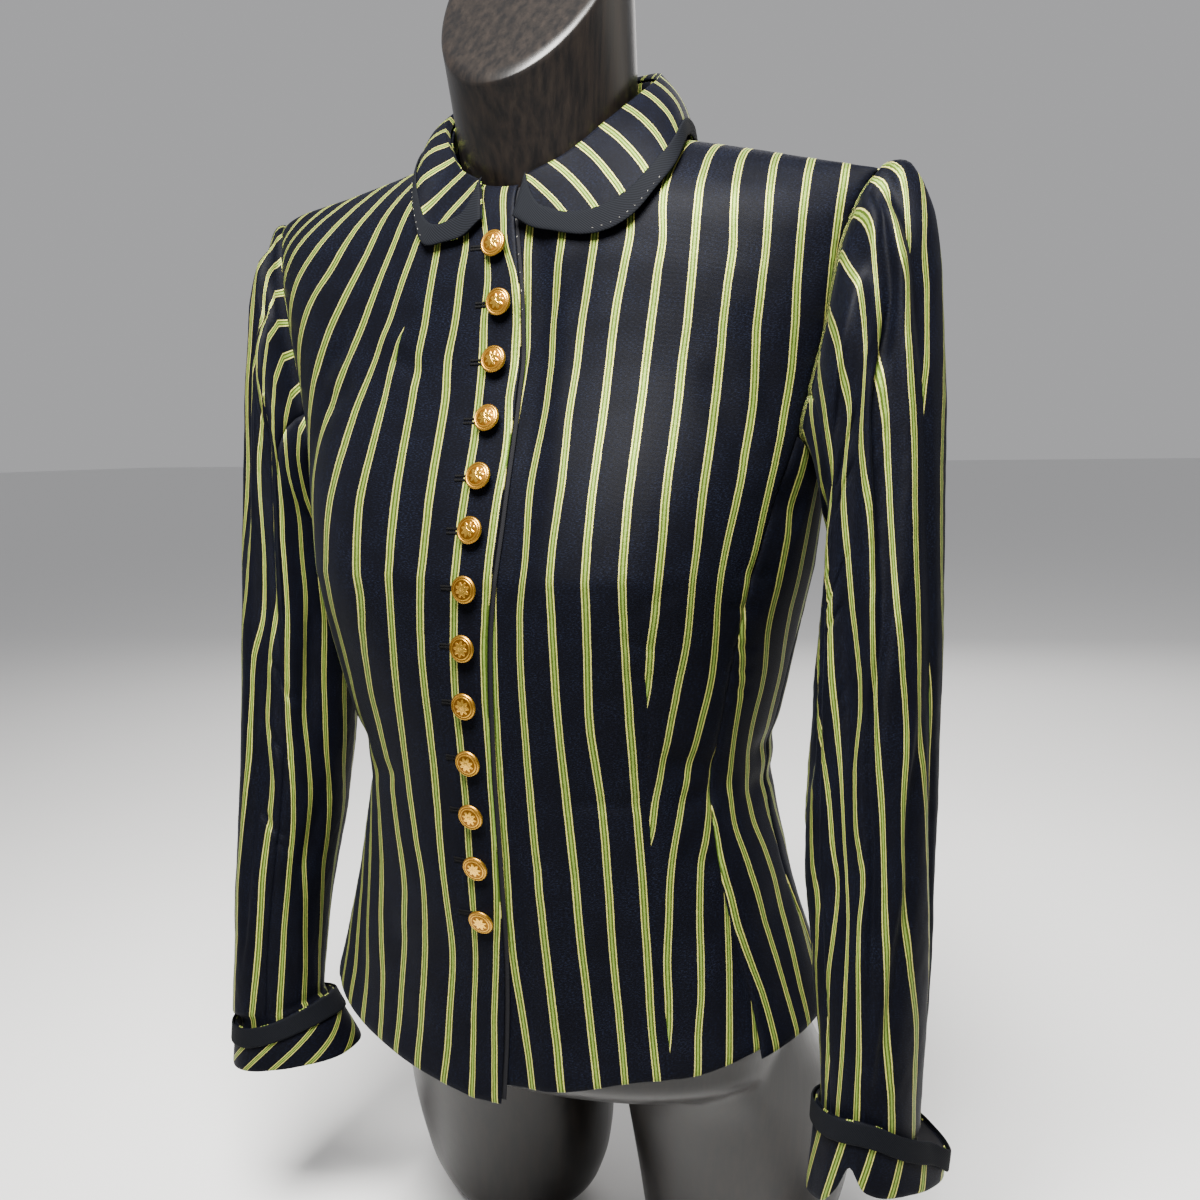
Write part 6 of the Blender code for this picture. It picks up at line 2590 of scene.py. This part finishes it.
@dataclass
class DressForm:
    """The limbless form: a torso, a leaning neck and two short thigh stumps."""

    columns: int = 120
    voxel: float = 0.0032
    rounds: int = 6
    neck_base: tuple = (0.0, -0.009, 0.655)
    neck_base_size: tuple = (0.0560, 0.0505)
    neck_top: tuple = (0.0, -0.026, 0.791)
    neck_top_radius: float = 0.0585
    cap_slope: float = 1.327
    rim: float = 0.004
    ridge_shorter: float = 0.90
    ridge_drop: float = 0.008
    ridge_half: float = 0.003
    belly_levels: tuple = (0.094, 0.16)
    chest_levels: tuple = (0.17, 0.655)
    stump_columns: int = 72
    neck_layers: int = 24

    def stack(self, rings: Sequence[np.ndarray], first: int) -> tuple:
        """A closed solid of rings laid from the bottom up.

        Args:
            rings: its rings.
            first: the number of its first point.

        Returns:
            Its points and its faces.
        """
        count, layers = len(rings[0]), len(rings)
        index = first + np.arange(count * layers).reshape(layers, count)
        after = np.roll(index, -1, 1)
        sides = np.stack([index[:-1], after[:-1], after[1:], index[1:]], -1)
        faces = [*sides.reshape(-1, 4).tolist(), index[0, ::-1].tolist(),
                 index[-1].tolist()]
        return np.concatenate(rings).tolist(), faces

    def torso_rings(self) -> list:
        """The torso's rings, up to its shoulder ridge."""
        angle = np.linspace(-math.pi, math.pi, self.columns + 1)[:-1]
        rings = []
        for level in np.r_[np.linspace(*self.belly_levels, 12),
                           np.linspace(*self.chest_levels, 60)]:
            depth, share, drop = (float(along(FORM, column, level)) for column in
                                  ("depth", "share", "drop"))
            ring = TORSO.inset(angle, level, depth)
            ring[..., :2] *= share
            ring[..., 2] -= drop
            rings.append(ring)
        ridge = TORSO.point(angle, TORSO.ridge_level)
        ridge[..., 0] *= self.ridge_shorter
        beyond = np.maximum(np.abs(ridge[..., 0]) - TORSO.ridge_flat, 0)
        ridge[..., 2] = TORSO.ridge_height - TORSO.ridge_slope * beyond - self.ridge_drop
        last = rings[-1]
        for share in (0.35, 0.65, 0.88):
            rings.append(last + (ridge - last) * share)
        thin = ridge.copy()
        thin[..., 1] = TORSO.ridge_depth - self.ridge_half * np.cos(angle)
        rings.append(thin)
        return rings

    def stump_rings(self, side: int) -> list:
        """A stump's rings.

        Args:
            side: 1 on the wearer's left, -1 on the right.

        Returns:
            Rings of points, from the sole upward.
        """
        count = self.stump_columns
        circle = np.linspace(0, 2 * math.pi, count + 1)[:-1]
        rings = []
        for level in np.linspace(STUMP[0].level, STUMP[-1].level, 60):
            x, y, width, depth = (float(along(STUMP, column, level)) for column in
                                  ("x", "y", "half_width", "half_depth"))
            rings.append(np.stack([side * x + width * np.cos(circle),
                                   y + depth * np.sin(circle),
                                   np.full(count, level)], -1))
        return rings

    def neck_rings(self) -> list:
        """The neck's rings, with a rounded rim and a slanting cap."""
        circle = np.linspace(0, 2 * math.pi, self.columns + 1)[:-1]
        straight = self.neck_layers
        rounds = [(0.0, 0.0)] * straight
        rounds += [(1 - math.cos(t), math.sin(t))
                   for t in np.linspace(0, math.pi / 2, 9)[1:]]
        rounds += [(1.0 + 1.5 * k, 1.0 + 0.04 * k) for k in range(1, 9)]
        shares = np.r_[np.linspace(0, 1, straight), np.ones(len(rounds) - straight)]
        rings = []
        for share, (inward, upward) in zip(shares, rounds):
            size = [edge * (1 - share) + self.neck_top_radius * share - inward * self.rim
                    for edge in self.neck_base_size]
            centre = [base * (1 - share) + top * share
                      for base, top in zip(self.neck_base, self.neck_top)]
            y = centre[1] + size[1] * np.sin(circle)
            z = (centre[2] + self.cap_slope * (y - centre[1]) * share
                 + upward * self.rim)
            rings.append(np.stack([size[0] * np.cos(circle), y, z], -1))
        return rings

    def build(self) -> None:
        points, faces = [], []
        for rings in (self.torso_rings(), self.stump_rings(-1), self.stump_rings(1)):
            more, sides = self.stack(rings, len(points))
            points += more
            faces += sides
        data = bpy.data.meshes.new("form_lump")
        data.from_pydata(points, [], faces)
        lump = put_in_scene("form_lump", data)
        remesh = lump.modifiers.new("skin", "REMESH")
        remesh.mode = "VOXEL"
        remesh.voxel_size = self.voxel
        smooth = lump.modifiers.new("smooth", "SMOOTH")
        smooth.factor = 0.5
        smooth.iterations = self.rounds
        graph = bpy.context.evaluated_depsgraph_get()
        skin = bpy.data.meshes.new_from_object(lump.evaluated_get(graph))
        bpy.data.objects.remove(lump)
        points = [tuple(vertex.co) for vertex in skin.vertices]
        faces = [tuple(face.vertices) for face in skin.polygons]
        more, sides = self.stack(self.neck_rings(), len(points))
        points, faces = np.array(points + more) + PLACE, faces + sides
        data = bpy.data.meshes.new("form_body")
        data.from_pydata(points.tolist(), [], faces)
        data.shade_smooth()
        data.materials.append(bpy.data.materials["dark wood"])
        WARDROBE.hard(put_in_scene("form_body", data), ("dress_form",))


# ---- Finishes ----
@dataclass(frozen=True)
class StripedWeave:
    """The striped cloth's threads: their colours, and how far out each of them ends."""

    ground: tuple = (0.0014, 0.0015, 0.0026, 1)
    speck: tuple = (0.0066, 0.0088, 0.019, 1)
    cream: tuple = (0.42, 0.40, 0.105, 1)
    olive: tuple = (0.042, 0.072, 0.009, 1)
    centre: tuple = (0.155, 0.235, 0.042, 1)
    outline: tuple = (0.004, 0.004, 0.005, 1)
    centre_to: float = 0.00048
    olive_to: float = 0.00160
    cream_to: float = 0.00228
    outline_to: float = 0.00275
    inner_soft: float = 0.00014
    outer_soft: float = 0.00012
    rib: float = 0.00035


def stripe_group(weave: StripedWeave) -> bpy.types.NodeTree:
    """The striped weave, as a group from flat coordinates to colour and masks.

    Args:
        weave: the threads.

    Returns:
        The node group.
    """
    graph = new_tree("striped weave", "ShaderNodeTree", (
        ("Flat", "INPUT", "Vector"), ("Colour", "OUTPUT", "Color"),
        ("Stripe", "OUTPUT", "Float"), ("Height", "OUTPUT", "Float")))
    flat = graph.node("NodeGroupInput").outputs[0]
    split = graph.node("ShaderNodeSeparateXYZ", {0: flat})
    wander = graph.math("SUBTRACT", graph.noise(flat, 60, 1), 0.5)
    fray = graph.math("SUBTRACT", graph.noise(flat, 900, 0), 0.5)
    shift = graph.math("ADD", graph.math("MULTIPLY", wander, 0.0005),
                       graph.math("MULTIPLY", fray, 0.0003))
    away = graph.math("PINGPONG", graph.math("ADD", split.outputs[0], shift),
                      STRIPE_PITCH / 2)
    centre = graph.band(away, -0.001, weave.centre_to, weave.inner_soft)
    olive = graph.band(away, weave.centre_to, weave.olive_to, weave.inner_soft)
    cream = graph.band(away, weave.olive_to, weave.cream_to, weave.outer_soft)
    outline = graph.band(away, weave.cream_to, weave.outline_to, weave.outer_soft)
    speckle = graph.noise(graph.stretched(flat, (1.0, 2.6, 1.0)), 620, 2, 0.7)
    speckle = graph.span(speckle, 0.46, 0.72, shape="SMOOTHSTEP")
    broad = graph.span(graph.noise(flat, 42, 2), 0.35, 0.75, 0.25, 1.0)
    slub = graph.noise(graph.stretched(flat, (3.0, 0.5, 1.0)), 700, 1)
    worn = graph.span(slub, 0.3, 0.7, 0.78, 1.08)
    grey = graph.node("ShaderNodeCombineColor", {0: worn, 1: worn, 2: worn}).outputs[0]
    ground = graph.mix(graph.math("MULTIPLY", speckle, broad), weave.ground,
                       weave.speck)
    ground = graph.mix(outline, ground, weave.outline)
    threads = graph.mix(olive, weave.cream, weave.olive)
    threads = graph.mix(centre, threads, weave.centre)
    stripe = graph.math("ADD", graph.math("ADD", centre, olive), cream)
    stripe = graph.math("MINIMUM", 1.0, stripe)
    ribs = graph.math("PINGPONG", split.outputs[1], weave.rib)
    ribs = graph.math("MULTIPLY", ribs, 0.25)
    height = graph.math("ADD", graph.math("MULTIPLY", stripe, 0.00006), ribs)
    height = graph.math("ADD", height, graph.math("MULTIPLY", speckle, 0.00005))
    graph.node("NodeGroupOutput", {
        "Colour": graph.mix(stripe, ground, graph.mix(1.0, threads, grey, "MULTIPLY")),
        "Stripe": stripe, "Height": height})
    return graph.tree


def blank_material(name: str) -> tuple:
    """A new material's graph and its Principled shader."""
    made = bpy.data.materials.new(name)
    made.use_nodes = True
    return Graph(made.node_tree), made.node_tree.nodes["Principled BSDF"]


@dataclass(frozen=True)
class StripedSatin:
    """The jacket's striped satin."""

    name: str = "striped satin"
    ground_rough: float = 0.52
    stripe_rough: float = 0.46
    stripe_metal: float = 0.40
    bump: float = 0.5
    shine: float = 0.035

    def make(self) -> None:
        """Makes the material."""
        graph, shader = blank_material(self.name)
        colour, stripe, height = graph.node("ShaderNodeGroup", {
            0: graph.node("ShaderNodeUVMap", uv_map="UVMap").outputs[0]},
            node_tree=bpy.data.node_groups["striped weave"]).outputs
        graph.feed(shader, {
            "Base Color": colour,
            "Metallic": graph.math("MULTIPLY", stripe, self.stripe_metal),
            "Roughness": graph.span(stripe, 0, 1, self.ground_rough, self.stripe_rough),
            "Normal": graph.bump(height, self.bump),
            "Specular IOR Level": self.shine, "Sheen Weight": 0.01,
            "Sheen Roughness": 0.45, "Sheen Tint": (0.62, 0.66, 0.90, 1)})


@dataclass(frozen=True)
class PlainCloth:
    """A plain dark cloth or thread; a ribbed one has a painted highlight on its rib
    crests.
    """

    name: str
    colour: tuple
    rough: float
    sheen: float = 0.1
    ribs: float = 0.0
    slant: float = 0.0
    # how much lighter the rib crests are painted: a painted highlight
    contrast: float = 0.5

    def make(self) -> None:
        """Makes the material."""
        graph, shader = blank_material(self.name)
        graph.feed(shader, {
            "Roughness": self.rough, "Sheen Weight": self.sheen,
            "Specular IOR Level": 0.08, "Base Color": (*self.colour, 1)})
        if not self.ribs:
            return
        flat = graph.node("ShaderNodeUVMap", uv_map="UVMap").outputs[0]
        across, up, _ = graph.node("ShaderNodeSeparateXYZ", {0: flat}).outputs
        run = graph.math("ADD", across, graph.math("MULTIPLY", up, self.slant))
        wave = graph.math("DIVIDE", graph.math("PINGPONG", run, self.ribs), self.ribs)
        # painted highlight: the rib crests are coloured lighter where the bump stands
        # highest, for the sheen they catch
        light = tuple(value * (1 + self.contrast * 3) for value in self.colour) + (1,)
        graph.feed(shader, {
            "Base Color": graph.mix(wave, (*self.colour, 1), light),
            "Normal": graph.bump(graph.math("MULTIPLY", wave, 0.00015), 0.8)})


@dataclass(frozen=True)
class Gilt:
    """Polished gilt with darker hollows."""

    name: str = "gilt"
    bright: tuple = (0.95, 0.54, 0.075, 1)
    hollow: tuple = (0.20, 0.080, 0.008, 1)

    def make(self) -> None:
        """Makes the material."""
        graph, shader = blank_material(self.name)
        relief = graph.node("ShaderNodeAttribute", attribute_name="relief").outputs[2]
        graph.feed(shader, {
            "Base Color": graph.mix(relief, self.hollow, self.bright),
            "Roughness": graph.span(relief, 0, 1, 0.42, 0.17), "Metallic": 1.0})


@dataclass(frozen=True)
class DarkWood:
    """Dark stained wood with long upright streaks, under a glossy lacquer."""

    name: str = "dark wood"
    dark: tuple = (0.0024, 0.0020, 0.0020, 1)
    light: tuple = (0.0080, 0.0056, 0.0042, 1)

    def make(self) -> None:
        """Makes the material."""
        graph, shader = blank_material(self.name)
        place = graph.node("ShaderNodeTexCoord").outputs["Object"]
        grain = graph.noise(graph.stretched(place, (210.0, 210.0, 4.0)), 1, 5, 0.65)
        graph.feed(shader, {
            "Base Color": graph.mix(graph.span(grain, 0.38, 0.68), self.dark, self.light),
            "Roughness": graph.span(grain, 0, 1, 0.26, 0.42),
            "Normal": graph.bump(graph.math("MULTIPLY", grain, 0.0002), 0.35),
            "Specular IOR Level": 0.30, "Coat Weight": 0.05, "Coat Roughness": 0.22})


def make_finishes() -> None:
    """Makes every material."""
    stripe_group(StripedWeave())
    finishes = (
        StripedSatin(), Gilt(), DarkWood(),
        PlainCloth("lining", (0.008, 0.008, 0.011), 0.60, 0.03),
        PlainCloth("facing cloth", (0.004, 0.004, 0.005), 0.75, 0.02, 0.0005, 1.0, 0.2),
        PlainCloth("twill ribbon", (0.0010, 0.0012, 0.0018), 0.8, 0.0, 0.0008, 1.0, 0.9),
        PlainCloth("black thread", (0.0006, 0.0006, 0.0008), 0.70, 0.0),
        PlainCloth("pale thread", (0.24, 0.23, 0.20), 0.7, 0.2),
        PlainCloth("floor", (0.80, 0.80, 0.80), 0.80, 0.0),
    )
    for finish in finishes:
        finish.make()


# ---- Studio ----
class Lamp(NamedTuple):
    """A soft square light: its place, what it points at, its edge and its power."""

    name: str
    place: tuple
    aim: tuple
    size: float
    watts: float
    colour: tuple
    spread: float


LAMPS = table(
    Lamp,
    ("key", (0.22, -0.80, 1.62), (0.02, 0.0, 0.80), 0.7, 45, (1, 0.985, 0.95), 90),
    ("fill", (-1.8, -1.2, 0.9), (0.0, 0.0, 0.45), 1.4, 2.5, (1, 0.90, 0.78), 180),
    ("rim", (1.5, 1.3, 1.5), (0.0, 0.0, 0.5), 1.0, 5, (1, 0.92, 0.80), 180),
    ("back", (-0.7, 2.2, 1.6), (0.0, 0.0, 0.5), 1.8, 26, (1, 0.97, 0.94), 180),
)


@dataclass
class Studio:
    """Floor, soft lights and the camera."""

    azimuth: float = math.radians(27)
    elevation: float = math.radians(6.5)
    roll: float = math.radians(1.0)
    distance: float = 0.906
    lens: float = 42.0
    film: float = 36.0
    target: tuple = (0.0159, -0.0010, 0.460)
    floor_reach: float = 30.0
    sky: tuple = (0.90, 0.90, 0.92, 1)
    sky_strength: float = 0.47

    def light(self, lamp: Lamp) -> None:
        """Adds a soft square light.

        Args:
            lamp: its place, aim, size and power.
        """
        data = bpy.data.lights.new(lamp.name, "AREA")
        data.spread = math.radians(lamp.spread)
        data.size = lamp.size
        data.energy = lamp.watts
        data.color = lamp.colour
        thing = put_in_scene(lamp.name, data)
        thing.location = lamp.place
        away = Vector(lamp.place) - Vector(lamp.aim)
        thing.rotation_euler = away.to_track_quat("Z", "Y").to_euler()

    def build(self) -> None:
        """Makes the floor, the lights and the camera."""
        data = bpy.data.meshes.new("floor")
        reach = self.floor_reach
        data.from_pydata([(-reach, -reach, 0), (reach, -reach, 0), (reach, reach, 0),
                          (-reach, reach, 0)], [], [(0, 1, 2, 3)])
        data.materials.append(bpy.data.materials["floor"])
        floor = put_in_scene("floor", data)
        for lamp in LAMPS:
            self.light(lamp)
        world = bpy.data.worlds.new("studio")
        world.use_nodes = True
        back = world.node_tree.nodes["Background"]
        back.inputs[0].default_value = self.sky
        back.inputs[1].default_value = self.sky_strength
        bpy.context.scene.world = world
        self.camera()

    def camera(self) -> None:
        """Adds the camera."""
        a, e, r = self.azimuth, self.elevation, self.roll
        back = Vector((math.sin(a) * math.cos(e), -math.cos(a) * math.cos(e),
                       math.sin(e)))
        right = Vector((math.cos(a), math.sin(a), 0))
        up = back.cross(right)
        rolled_right = right * math.cos(r) - up * math.sin(r)
        rolled_up = up * math.cos(r) + right * math.sin(r)
        data = bpy.data.cameras.new("camera")
        data.lens = self.lens
        data.sensor_width = self.film
        eye = put_in_scene("camera", data)
        turn = Matrix((rolled_right, rolled_up, back)).transposed().to_4x4()
        eye.matrix_world = Matrix.Translation(Vector(self.target)
                                              + back * self.distance) @ turn
        bpy.context.scene.camera = eye


def main() -> None:
    """Builds the jacket, the form and the studio."""
    logging.basicConfig(level=logging.INFO, format="%(message)s")
    make_finishes()
    Body().build()
    left_cuff = Cuff(Side.LEFT, LEFT_CUFF, (0.216, -0.047), -0.35)
    right_cuff = Cuff(Side.RIGHT, RIGHT_CUFF, (0.2115, -0.047), 1.2)
    Sleeve(Side.LEFT, LEFT_SLEEVE_CREASES, LEFT_FOLD_LINES, LEFT_SLEEVE_STRIPES,
           left_cuff, LEFT_CROWN_STRIPES).build()
    Sleeve(Side.RIGHT, RIGHT_SLEEVE_CREASES, RIGHT_FOLD_LINES, RIGHT_SLEEVE_STRIPES,
           right_cuff, press=0.014).build()
    Collar().build()
    left_cuff.build()
    right_cuff.build()
    ButtonRow().build()
    Threads().build()
    DressForm().build()
    Studio().build()
    LOG.info("%d pieces", len(WARDROBE.pieces))


if __name__ == "__main__":
    main()
